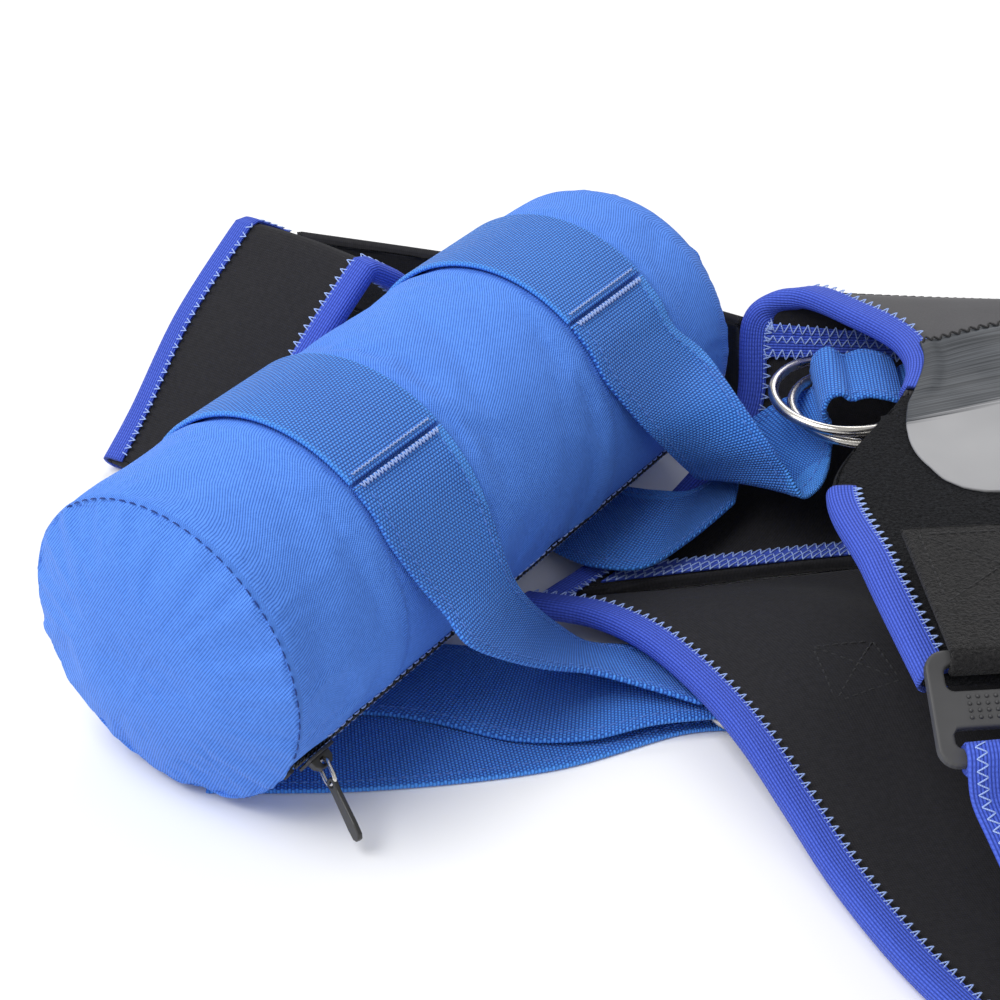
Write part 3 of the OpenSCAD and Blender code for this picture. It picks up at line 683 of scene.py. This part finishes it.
def zipper():
    z = np.linspace(2.5, ROLL_LEN - 2.5, 90)
    for side, node in ((-1, "upper"), (1, "lower")):
        y = np.linspace(0.8, 6.2, 8) * side
        g = on_zip(joined(TAPE_X + 0.3, y[None], z[:, None]))
        slab("zipper_tape_" + node + "_cloth", g, 0.6, ZIP_TAPE, slot="zip_tape", nodes=("zipper_tape_" + node,))
        teeth, per = 128, 9
        t = np.linspace(0, 2 * math.pi * teeth, teeth * per + 1)
        line = joined(COIL_X + 0.45 * np.cos(t), side * (1.25 + 1.05 * np.sin(t)),
                      5.4 + 1.6 * t / (2 * math.pi) + (0.8 if side > 0 else 0))
        tube("zipper_coil_" + node + "_teeth", on_zip(line), 0.33, ALONG, COIL, m=6, slot="zip_coil",
             nodes=("zipper_coil_" + node,))
    paint_node("zipper_stops", COIL)

    def lying(p):
        """From the slider's middle: x along the zipper, y across it, z out of the roll."""
        return on_zip(joined(p[:, 2], p[:, 1], p[:, 0] + SLIDER_S))

    def upright(p):
        return on_zip(joined(p[:, 1], p[:, 2], p[:, 0] + SLIDER_S))

    def hanging(p):
        """From the pull's pin: x out along the pull, y across it, z its thickness."""
        x, y, z = np.moveaxis(np.asarray(p, float), -1, 0)
        return on_zip(joined(PIN_X + x * math.cos(LEAN) + z * math.sin(LEAN), y,
                             SLIDER_S - x * math.sin(LEAN) + z * math.cos(LEAN)))

    outline = [(-5, -3.2), (-4.2, -4.1), (-0.5, -4.2), (2.4, -3.3), (5, -3.0), (5, 3.0), (2.4, 3.3), (-0.5, 4.2),
               (-4.2, 4.1), (-5, 3.2), (-4.3, 0)]
    plate("slider_top_blade", [outline], BLADE_X, BLADE_X + 1.0, lying, PAINTED, 0.35, 3, body="zip_slider",
          slot="zip_metal", nodes=("zipper_slider",))
    plate("slider_low_blade", [outline], TAPE_X - 1.3, TAPE_X - 0.3, lying, PAINTED, 0.3, body="zip_slider",
          slot="zip_metal")
    bridge = [(-3.6, 46.0), (-3.4, 48.0), (-2.2, 49.3), (0, 49.7), (2.2, 49.3), (3.4, 48.0), (3.6, 46.0)]
    eye = circle(1.05, 14) + [0, PIN_X]
    plate("slider_bridge", [bridge, eye], -1.1, 1.1, upright, PAINTED, 0.25, body="zip_slider", slot="zip_metal")
    bail = np.array(rounded(7.2, 4.6, 1.9, cx=3.0, steps=6))
    line = hanging(np.column_stack([bail, np.zeros(len(bail))]))
    tube("pull_bail", line, 0.62, hanging([0, 0, 1]) - hanging([0, 0, 0]), NICKEL, closed=True, body="zip_pull",
         slot="zip_metal", nodes=("zipper_pull",))
    tab = [(4.9, -1.3), (5.6, -1.9), (9, -1.6), (19, -1.9), (22, -1.7), (23, -0.9), (23, 0.9), (22, 1.7), (19, 1.9),
           (9, 1.6), (5.6, 1.9), (4.9, 1.3)]
    hole = circle(0.8, 12, 0.9375) + [6.6, 0]
    plate("pull_tab", [tab, hole], -0.75, 0.75, hanging, PAINTED, 0.4, 3, body="zip_pull", slot="zip_metal")


zipper()


# ---- hand straps ----
def band_radius(a):
    c = np.cos(np.radians(a))
    return np.where(c < 0, np.minimum(BAND_R, (BAND_Z - AXIS_Z) / np.minimum(c, -1e-6)), BAND_R)


def on_roll_edge(s, a0, a1):
    return [roll_point(s, a, BAND_R).tolist() for a in np.linspace(a0, a1, 3)]


def web_slab(name, g, nodes, t=WEB_T, **kw):
    return slab(name, g, t, WEBBING, slot="webbing", nodes=nodes, **kw)


def edge_rows(g, inset, t, pitch=3.0):
    """Stitch lines along both edges of a strap, on both of its faces."""
    n, sets = normals(g), []
    width = np.linalg.norm(g[:, -1] - g[:, 0], axis=-1).mean()
    for share in (inset / width, 1 - inset / width):
        k = share * (g.shape[1] - 1)
        i, f = int(k), k - int(k)
        line, up = g[:, i] * (1 - f) + g[:, i + 1] * f, unit(n[:, i] * (1 - f) + n[:, i + 1] * f)
        for face in (1, -1):
            sets.append(dashes(line + up * face * (t / 2 + 0.02), up * face, pitch, 0.7))
    return sets


def straps():
    for name, s in (("near", NEAR_S), ("far", FAR_S)):
        a = np.linspace(BAR_A, UNDER_A - 360, 121)[:, None]
        g = roll_point(np.linspace(s - HALF_WEB, s + HALF_WEB, 13)[None], a, band_radius(a))
        web_slab(name + "_band", g, (name + "_strap_band",))
    near_l = on_roll_edge(45, 37, 60) + [[66, 12, 57], [72, 10, 50], [78, 5, 44], [88, 10, 35], [99, 19, 25],
                                         [112, 27, 17], [126, 26, 13], [142, 22, 10]]
    near_r = on_roll_edge(83, 37, 60) + [[85, 40, 57], [88, 37, 48], [91, 38, 39], [96, 43, 28], [103, 51, 15],
                                         [111, 54.5, 6.4], [121, 51, 7.9], [131, 49, 8.6]]
    near = strap_grid(near_l, near_r, 90, bow=0.5)
    web_slab("near_front", near, ("near_strap_front",))
    under = strap_grid(
        [roll_point(45, 157, band_radius(158)).tolist(), [55, 26, 2.8], [70, 22, 3], [90, 15, 3], [110, 14, 4],
         [128, 18, 6], [142, 20, 6.3], [150, 21, 6.2], [155, 22, 4.6], [156, 22, 2.8]],
        [roll_point(83, 157, band_radius(158)).tolist(), [75, 57, 3], [84, 54, 3.4], [97, 52, 3.6], [112, 52, 4],
         [128, 55, 6], [142, 57, 6.3], [150, 56, 6.2], [155, 55, 4.6], [156, 55, 2.8]], 72, bow=0.2)
    web_slab("near_under", under, ("near_strap_under",))
    tail = strap_grid([[8, -4, 0.9], [52, -3, 0.9], [100, 5, 0.9], [136, 20, 0.9], [154, 22, 0.9]],
                      [[8, 34, 0.9], [48, 35, 0.9], [92, 43, 0.9], [126, 56, 0.9], [154, 55, 0.9]], 60, bow=0)
    web_slab("near_tail", tail, ("near_strap_tail",), t=1.4)
    far_l = on_roll_edge(146, 37, 60) + [
        [124, 96, 58], [131, 98, 48], [138, 106, 36], [143, 113, 27], [147, 118, 21], [152, 127, 22], [161, 136, 27],
        [173, 139, 35], [183, 138, 41], [182, 137, 48], [182.5, 137, 52.8], [186, 137, 55.5],
        [189.5, 137, 53.4], [191.5, 137, 52.8], [196, 137, 54.6], [201, 136, 54.4], [206, 136, 52]]
    far_r = on_roll_edge(184, 37, 60) + [
        [148, 126, 60], [157, 112, 53], [165, 101, 45], [171, 97, 37], [176, 94, 30], [181, 98, 30], [184, 103, 33],
        [185, 108, 37.5], [185, 110, 43], [182.5, 110, 48.5], [184, 111, 53], [187.5, 111, 54.4],
        [190.5, 111, 52.6], [195, 111, 53.8], [200, 110, 53.8], [206, 110, 52]]
    far = strap_grid(far_l, far_r, 150, bow=0.4)
    web_slab("far_front", far, ("far_strap_front", "far_strap_tail"))
    far_under = strap_grid(
        [roll_point(146, 157, band_radius(158)).tolist(), [106, 96, 6.6], [115, 85, 10.8], [129, 83, 12],
         [143, 94, 14], [158, 110, 17]],
        [roll_point(184, 157, band_radius(158)).tolist(), [128, 131, 8], [136, 121, 13.6], [145, 119, 15],
         [154, 125, 16.5], [162, 131, 18]], 52, bow=0.2)
    web_slab("far_under", far_under, ("far_strap_under",))

    sets = edge_rows(near, 3.2, WEB_T) + edge_rows(far, 3.2, WEB_T) + edge_rows(tail, 3.2, 1.4)
    sets += edge_rows(under, 3.2, WEB_T) + edge_rows(far_under, 3.2, WEB_T)
    threads("strap_edge_stitches", sets, 0.2, THREAD_BLUE, arch=0.14, slot="webbing")
    sets = []
    for s in (NEAR_S, FAR_S):
        for a, half in ((BAR_A + 2.2, 0.8), (BAR_A - 2.4, 0.3), (UNDER_A - 3, 0.8)):
            across = np.linspace(s - 17.5, s + 17.5, 60)
            line = roll_point(across, a, band_radius(a) + WEB_T / 2)
            up = unit(line - roll_point(across, 0, 0))
            inward = unit(np.cross(up, np.broadcast_to(ALONG, up.shape)))
            sets.append(zigzag(line, inward, up, -half, half, 1.5, 0.1, 0.1))
    threads("strap_bar_tacks", sets, 0.24, THREAD, arch=0.15, slot="webbing")


straps()


def ring_tabs():
    for name, y0, path in (
            ("lower", 38.5, [[196, 1.0], [188, 0.9], [182, 0.8], [178.9, 1.5], [177.3, 3.6], [176.9, 6.3],
                             [177.4, 9.0], [179.4, 10.9], [183, 11.1], [188, 10.4], [196, 9.4]]),
            ("upper", 124, [[236, 41.0], [224, 40.8], [215, 40.7], [210.6, 41.2], [208.3, 43.4], [207.4, 46.6],
                            [208.4, 49.4], [211.6, 50.4], [216, 50.0], [225, 49.2], [236, 48.0]])):
        line = curve([[x, 0, z] for x, z in path], 60)[:, None]
        g = joined(line[..., 0], y0 + np.linspace(-12, 12, 9), line[..., 2])
        web_slab(name + "_tab_loop", g, (name + "_ring_tab",), t=1.4)
        n, sets = normals(g), []
        for k in (44, 52):
            outward = n[k] * np.sign(n[k][4, 2])
            sets.append(dashes(g[k] + outward * 0.75, outward, 2.6))
        threads(name + "_tab_stitches", sets, 0.22, THREAD, arch=0.15, slot="webbing")


ring_tabs()
for node in ("lower_ring_bottom", "lower_ring_top", "upper_ring_bottom", "upper_ring_top"):
    for poly in paint_node(node, NICKEL).polygons:
        poly.use_smooth = True

# ---- sleeve ----
SHOULDER_X = 341.4   # where the shoulder cap is sewn to the sleeve
SLEEVE = [
    [[99, 78, 4], [119, 100, 4.2], [141, 126, 9], [161, 147, 26], [164, 160, 53], [177, 158, 61],
     [192, 142, 63], [206, 124, 62], [203, 99, 62], [177, 53, 61], [181, 12, 62], [189, -30, 59]],
    [[215, 101, 2.4], [220, 118, 3], [226, 137, 12], [232, 150, 30], [236, 158, 48], [240, 156, 59],
     [244, 145, 63], [248, 126, 64], [250, 104, 65], [250, 60, 65.5], [252, 12, 65], [254, -30, 60]],
    [[SHOULDER_X, y, z] for y, z in (
        (112, 2.4), (124, 4), (138, 14), (150, 32), (156, 46), (153, 58),
        (141, 64), (124, 67), (104, 69), (60, 72), (12, 71), (-30, 64))]]
FLOOR = [
    [[92, 69, 8], [112, 58, 12], [127, 42, 15], [141, 21, 15], [151, 1, 14], [161, -20, 9],
     [171, -43, 5], [184, -70, 3.9], [200, -96, 3.7]],
    [[146, 83, 3], [170, 68, 12], [186, 50, 16], [197, 24, 15.5], [203, 2, 10], [209, -20, 6],
     [216, -43, 3], [225, -70, 2.4], [234, -96, 2.4]],
    [[215, 97, 2.4], [226, 74, 4], [232, 50, 7], [238, 24, 7], [242, 2, 4], [243, -20, 2.4],
     [249, -43, 2.4], [256, -70, 2.4], [264, -96, 2.4]],
    [[340, y, 2.4] for y in (108, 84, 56, 28, 3, -20, -43, -70, -96)]]
CAP = [
    [[SHOULDER_X + 0.2, y, z] for y, z in ((156, 46), (141, 64), (104, 69), (60, 72), (12, 71), (-30, 64))],
    [[368, 148, 44], [369, 134, 59], [370, 100, 65], [370, 60, 68], [370, 12, 66], [369, -24, 58]],
    [[388, 136, 30], [392, 124, 42], [394, 96, 48], [395, 60, 50], [394, 16, 48], [391, -14, 40]],
    [[394, 130, 6], [400, 118, 6], [404, 92, 6], [405, 60, 6], [404, 20, 6], [400, -8, 6]]]

PROFILE = np.array(
    [(BIND_DEPTH, BIND_OUT - 0.3), (BIND_DEPTH - 0.5, BIND_OUT), (5.2, BIND_OUT + 0.12), (3.4, BIND_OUT + 0.1)]
    + [(1.8 + 3.1 * math.cos(t), BIND_OUT * math.sin(t)) for t in np.linspace(math.pi / 2, math.pi * 1.5, 15)]
    + [(3.4, -BIND_OUT - 0.1), (5.2, -BIND_OUT - 0.12), (BIND_DEPTH - 0.5, -BIND_OUT),
       (BIND_DEPTH, -BIND_OUT + 0.3), (BIND_DEPTH, -BIND_IN), (2, -BIND_IN), (0.3, -1.3), (0, 0), (0.3, 1.3),
       (2, BIND_IN), (BIND_DEPTH, BIND_IN)])


def bound_edge(name, g, axis, side, body="sling", nodes=(), faces=(1, -1)):
    """Knit binding folded round one edge of a panel, held by a zigzag on both faces."""
    g, n = np.moveaxis(g, axis, 0), np.moveaxis(normals(g), axis, 0)
    line, inner, up = g[side], g[1 if side == 0 else -2], n[side]
    along = unit(np.gradient(line, axis=0))
    inward = unit(np.cross(up, along))
    inward = inward * np.sign((inward * (inner - line)).sum(-1).mean())
    ob = sweep(name, line, inward, up, PROFILE, BINDING, body=body, slot="binding", nodes=nodes)
    sets = [zigzag(line, inward, up * f, BIND_DEPTH + 1.3, BIND_DEPTH - 3.4, 3.0, NEO / 2 + 0.5, BIND_OUT + 0.3)
            for f in faces]
    sewn = threads(name + "_zigzag", sets, 0.21, THREAD, body=body, slot="binding")
    return ob, sewn


def cut_size(g):
    """Mean width and length of a panel, laid flat, in metres."""
    return (round(float(lengths(g, 1)[:, -1].mean()) / 1000, 3), round(float(lengths(g, 0)[-1].mean()) / 1000, 3))


SIZES = {}


def panel(name, g, material, slot, nodes, body="sling"):
    ob = slab(name, g, NEO, material, slot=slot, nodes=nodes, body=body)
    SIZES[name] = cut_size(g)
    return ob


def soft_waves(g, size, period, seed):
    """Slow unevenness of a laid panel, fading out at its edges."""
    r = np.random.default_rng(seed)
    n, out = normals(g), np.zeros(g.shape[:2])
    for _ in range(5):
        d = r.normal(size=3)
        out += np.sin(g @ (d / np.linalg.norm(d)) * 2 * math.pi / (period * r.uniform(0.7, 1.6)) + r.uniform(0, 6))
    edge = np.minimum(*np.meshgrid(*(np.minimum(np.arange(k), np.arange(k)[::-1]) for k in g.shape[:2]),
                                   indexing="ij"))
    return g + n * (out * size / 3 * np.clip(edge / 6, 0, 1))[..., None]


def floor_grid():
    return grid_over(FLOOR, 0, 8, 96, 84)


def sleeve():
    low = soft_waves(floor_grid(), 0.35, 34, 1)
    low[..., 2] = np.maximum(low[..., 2], 2.1)
    back = soft_waves(grid_over(SLEEVE, 0, 4.99, 82, 72), 0.5, 40, 2)
    top = soft_waves(grid_over(SLEEVE, 5.01, 8.04, 50, 60), 0.35, 45, 3)
    upper = soft_waves(grid_over(SLEEVE, 8.07, 11, 56, 60), 0.4, 50, 4)
    dome = soft_waves(grid_over(CAP, 0, 5, 64, 48), 0.4, 40, 5)
    low_edge = bound_edge("floor_binding", grid_over(FLOOR, 0, 8, 120, 84), 0, 0, nodes=("lower_binding",))
    back_edge = bound_edge("back_binding_knit", grid_over(SLEEVE, 0, 8.0, 180, 72), 0, 0,
                           nodes=("back_binding", "top_binding"))
    upper_edge = bound_edge("upper_binding_knit", grid_over(SLEEVE, 9.1, 11, 70, 60), 0, 0, nodes=("upper_binding",))
    cap_edge = bound_edge("shoulder_binding", grid_over(CAP, 0, 5, 64, 60), 1, -1, nodes=("cap_binding",))
    panel("sleeve_floor", low, NEOPRENE, "neoprene", ("lower_panel",))
    panel("sleeve_back", back, NEOPRENE, "neoprene", ("back_panel",))
    panel("sleeve_top", top, SKIN, "neoprene", ("top_panel",))
    panel("sleeve_upper", upper, PLUSH, "plush", ("upper_panel",))
    panel("shoulder_dome", dome, NEOPRENE, "neoprene", ("shoulder_cap",))

    out, seams = NEO / 2 + 0.02, []
    for u in (5.0, 8.05):
        g = grid_over(SLEEVE, u - 0.04, u + 0.04, 2, 90, 0.14, 1.97)
        seams.append(zigzag(g[:, 1], unit(g[:, 2] - g[:, 0]), normals(g)[:, 1], -1.5, 1.5, 2.6, out, out))
    g = grid_over(SLEEVE, 4.1, 10.9, 160, 2, 1.96, 2.0)
    seams.append(zigzag(g[2], np.broadcast_to([1.0, 0, 0], g[2].shape), normals(g)[2], -1.7, 1.9, 2.8, out, out))
    threads("panel_seam_stitches", seams, 0.25, THREAD_BLACK, arch=0.1, slot="neoprene")

    lift = NEO / 2 + 0.7
    for name, u0, u1, v0, node in (("seam_tape_knit", 0.15, 0.55, 0.2, "seam_tape"),
                                   ("rear_tape_knit", 3.55, 3.95, 0.12, "rear_seam_tape")):
        g = grid_over(SLEEVE, u0, u1, 6, 70, v0, 1.9)
        g = g - normals(g) * lift
        slab(name, g, 0.8, BINDING, slot="binding", nodes=(node,))
        n, across, sets = -normals(g), unit(g[:, -1] - g[:, 0]), []
        for k, sign, near, far in ((0, 1, -0.7, 2.6), (-1, -1, -0.7, 2.6), (3, 1, -1.2, 1.2)):
            sets.append(zigzag(g[:, k], across * sign, n[:, k], near, far, 2.9, 0.5, 0.5))
        threads(name + "_overlock", sets, 0.2, THREAD, slot="binding")

    # The patch: its edges across the sleeve slant, and start gives its cut edge, place by place.
    top = 7.1 - 0.7 * np.linspace(0, 1, 25)[:, None]
    u = top + (9.35 - top) * np.linspace(0, 1, 73)[None]
    start = np.interp(u, [6.9, 7.3, 8.0, 8.25, 8.6, 9.0, 9.15, 9.27, 9.33, 9.35],
                      [0.20, 0.17, 0.15, 0.17, 0.31, 0.45, 0.49, 0.55, 0.62, 0.72])
    v = start + (1.25 - start) * np.linspace(0, 1, 25)[:, None]
    g = on_sheet(SLEEVE, u, v)
    n = normals(g)
    over = np.clip((0.36 - v) / 0.08, 0, 1) * np.clip((8.3 - u) / 0.2, 0, 1)   # where it laps the binding
    g = g + n * (lift + 1.2 * over)[..., None]
    slab("grey_patch", g, 0.8, LABEL, slot="label", nodes=("label_patch",))
    line = g[:, 0]
    inward = unit(g[:, 1] - g[:, 0])
    sets = [zigzag(line, inward, n[:, 0], -0.9, 1.5, 3.2, 0.5, 0.6)]
    threads("patch_zigzag", sets, 0.34, THREAD_BLACK, slot="label")


sleeve()


def box_x(corners, up_at):
    """Thread runs of a sewn box with a cross. corners go round the box."""
    c = np.asarray(corners, float)
    runs = [(c[0], c[1]), (c[1], c[2]), (c[2], c[3]), (c[3], c[0]), (c[0], c[2]), (c[1], c[3])]
    return [dashes(*up_at(a + (b - a) * np.linspace(0, 1, 24)[:, None]), 2.6, 0.72, 0.4) for a, b in runs]


def marks():
    """Anchor stitching on the floor panel where the webbing tab is sewn underneath."""
    flat, up = floor_grid().reshape(-1, 3), normals(floor_grid()).reshape(-1, 3)

    def on_floor(line):
        k = [np.argmin(((flat[:, :2] - p[:2]) ** 2).sum(1)) for p in line]
        out = line.copy()
        out[:, 2] = flat[k, 2] + (NEO / 2 + 0.05) * up[k, 2]
        return out, up[k]

    sets = box_x([(173, 36, 0), (190, 39, 0), (195.5, 23, 0), (177, 14.5, 0)], on_floor)
    threads("floor_anchor_stitches", sets, 0.3, THREAD_BLACK, arch=0.1, slot="neoprene")


marks()


# ---- chest strap ----
def chest():
    rear = grid_over([
        [[18, 225, 49], [64, 213, 48], [112, 205, 44], [166, 178, 42]],
        [[19, 227, 27], [66, 215, 26], [114, 207, 24], [168, 180, 23]],
        [[20, 228, 4], [68, 216, 3], [116, 209, 3], [170, 182, 3]]], 0, 3, 60, 18)
    panel("chest_rear", soft_waves(rear, 0.4, 50, 8), NEOPRENE, "neoprene", ("chest_strap_rear",))
    rows = [
        [[20, 219, 30], [42, 205, 29], [64, 188, 28]],
        [[13, 215, 50], [35, 200, 50], [58, 183, 49]],
        [[4, 208, 59.5], [26, 193, 60.5], [49, 176, 59.5]],
        [[1.4, 205.4, 61.4], [23.4, 190.4, 62.4], [46.4, 173.4, 61.4]],
        [[-1, 203, 59.5], [21, 188, 60.5], [44, 171, 59.5]],
        [[-18, 186, 38], [4, 170, 40], [27, 154, 38]],
        [[-32, 168, 14], [-10, 153, 15], [12, 137, 14]],
        [[-40, 153, 3.7], [-19, 138, 3.7], [3, 122, 3.7]]]
    steps = ((0, 1, 8), (1, 2, 4), (2, 4, 3), (4, 5, 11), (5, 6, 11), (6, 7, 8))
    places = np.concatenate([np.linspace(a, b, n + 1)[:-1] for a, b, n in steps] + [[7.0]])
    g = on_sheet(rows, np.linspace(0, 2, 25)[None], places[:, None])
    fold = [tuple(((np.array(p) - ORIGIN) / 1000).tolist()) for p in ((25, 192, 60.5), (21, 187.6, 60.5))]
    body = ("sling", "chest_end", *fold)
    outer = bound_edge("chest_binding_outer", g, 1, 0, body=body, nodes=("chest_end_binding",))
    inner = bound_edge("chest_binding_inner", g, 1, -1, body=body, nodes=("chest_inner_binding",))
    panel("chest_front", g, NEOPRENE, "neoprene", ("chest_strap_fold", "chest_strap_end"),
          body=body)


chest()


# ---- closure ----
def strip(path, width, n, across, place):
    """Grid of a strip that follows a path in the closure's y-z plane."""
    line = curve([[0, y, z] for y, z in path], n)
    x = np.linspace(-width / 2, width / 2, across + 1)
    return place(joined(x[None], line[:, None, 1], line[:, None, 2]))


def sewn_loop(place, bar, radius):
    """The knit strap's sewn loop round the buckle's second bar."""
    half, wall, m = 22, 1.1, 36
    a = turns(m)
    stations = [(-half, radius + wall * 0.3), *[(x, radius + wall) for x in np.linspace(0.8 - half, half - 0.8, 14)],
                (half, radius + wall * 0.3), (half - 0.3, radius - wall), (0.3 - half, radius - wall)]
    rows = np.array([joined(x, r * np.cos(a) - bar, r * np.sin(a)) for x, r in stations])
    at = wrapped(np.arange(len(rows) * m).reshape(-1, m))
    lay = joined(rows[..., 0], a[None] * radius, 0.0) / 1000
    add("knit_strap_loop", place(rows.reshape(-1, 3)), quads(np.concatenate([at, at[:1]])), BINDING, slot="binding",
        nodes=("closure_strap_loop",), lay=lay.reshape(-1, 3))


def closure():
    flat, tilted = closure_frame(0), closure_frame(30)
    rc = 3.1   # radius of the tab's and the strap's middle round a bar
    turn = [(rc * math.cos(t), rc * math.sin(t)) for t in np.radians([228, 200, 170, 140, 112, 90])]
    g = strip(turn + [(6, rc + 0.1), (14, rc + 0.15), (26, rc), (38, rc), (50, rc)], 44, 80, 14, flat)
    tab = slab("hook_tab_cloth", g, 2.2, HOOK, body="hook", slot="hook", nodes=("hook_tab",))
    pad = strip([(10, 1.45), (22, 1.45), (36, 1.45), (48, 1.45)], 40, 30, 12, flat)
    slab("hook_pad_cloth", pad, 1.1, HOOK, body="hook", slot="hook", nodes=("hook_pad",))
    top = rc + 1.12

    def on_tab(line):
        return flat(line + [0, 0, top]), np.broadcast_to(flat([[0, 0, 1]])[0] - flat([[0, 0, 0]])[0], line.shape)

    sets = box_x([(-18, 17, 0), (18, 17, 0), (18, 46, 0), (-18, 46, 0)], on_tab)
    for y in (9, 11.5):
        sets.append(dashes(*on_tab(joined(np.linspace(-20, 20, 20), y, 0)), 2.6))
    threads("hook_tab_stitches", sets, 0.28, THREAD_BLACK, arch=0.1, body="hook", slot="hook")

    w, length, bar = 56, 29.0, 25.6
    outline = rounded(w, length + 0.6, 5, cy=-length / 2 + 1.7, steps=7)
    slots = [rounded(w - 9, 6.6, 2.0, cy=-5.3), rounded(w - 9, 5.0, 1.8, cy=-20.6)]
    plate("buckle_frame", [outline, *slots], -1.5, 1.5, tilted, MOULDED, 0.8, 4, body="buckle",
          slot="buckle", nodes=("closure_buckle",))
    pts, faces = [], []
    for y in -15.6 + 1.75 * np.arange(4):
        for x in -18.7 + 2.2 * np.arange(18):
            k = len(pts)
            for r, z in ((0.62, 1.45), (0.31, 2.0)):
                pts += [(x + dx, y + dy, z) for dx, dy in circle(r, 8)]
            faces += [[k + i, k + (i + 1) % 8, k + 8 + (i + 1) % 8, k + 8 + i] for i in range(8)]
            faces += [[k + 8 + i for i in range(8)], [k + 7 - i for i in range(8)]]
    add("buckle_grip_dots", tilted(np.array(pts)), faces, MOULDED, body="buckle", slot="buckle",
        lay=np.array(pts) / 1000)

    sewn_loop(tilted, bar, rc)
    left = [[195.9, -52, 58.6], [196, -56, 57.4], [196.2, -58, 53.5], [197.5, -60.5, 47], [201, -67, 41],
            [211, -84, 25], [221, -98, 11], [230, -106.4, 3]]
    right = [[239.8, -48.2, 58.6], [239.9, -52.2, 57.4], [240, -54.2, 53.5], [240.5, -57, 47], [244, -63, 41],
             [252, -80, 25], [260, -96, 11], [268, -106.4, 3]]
    g = strap_grid(left, right, 56, 14, bow=-0.8)
    slab("knit_strap", g, 2.2, BINDING, slot="binding", nodes=("closure_strap",))
    n, across = normals(g), unit(g[:, -1] - g[:, 0])
    sets = []
    for col, sign in ((1, 1), (-2, -1)):
        for f in (1, -1):
            up = n[:, col] * f
            sets.append(zigzag(g[:, col] + up * 1.15, across * sign, up, -1.2, 1.6, 3.0, 0.05, 0.05))
    threads("knit_strap_zigzag", sets, 0.2, THREAD, slot="binding")


closure()

# ---- floor and light ----
scene.view_settings.view_transform = "Standard"
mesh = bpy.data.meshes.new("floor")
mesh.from_pydata([(-6, -6, 0), (6, -6, 0), (6, 6, 0), (-6, 6, 0)], [], [[0, 1, 2, 3]])
floor = bpy.data.objects.new("floor", mesh)
scene.collection.objects.link(floor)
paint = Paint("pale_floor", rough=0.9, specular=0.05)
paint.colour(paint.mix(paint.noise(3, 2), (0.93, 0.93, 0.93), (0.95, 0.95, 0.95)))
mesh.materials.append(paint.mat)

world = bpy.data.worlds.new("world")
scene.world = world
world.use_nodes = True
sky = world.node_tree.nodes["Background"].inputs
sky["Color"].default_value, sky["Strength"].default_value = (1.0, 1.0, 1.0, 1), 0.5


def lamp(name, place, aim, size, power):
    data = bpy.data.lights.new(name, "AREA")
    data.size, data.energy = size, power
    ob = bpy.data.objects.new(name, data)
    scene.collection.objects.link(ob)
    ob.location = place
    ob.rotation_mode = "QUATERNION"
    ob.rotation_quaternion = (Vector(aim) - Vector(place)).to_track_quat("-Z", "Y")


lamp("key", (-0.80, -0.30, 1.25), (0, 0, 0.03), 1.0, 17)
lamp("fill", (0.7, -1.0, 0.9), (0, 0, 0.03), 1.0, 1.2)
lamp("rim", (0.2, 1.1, 1.0), (0, 0, 0.03), 0.8, 5)

for name, size in SIZES.items():
    print("flat", name, size)
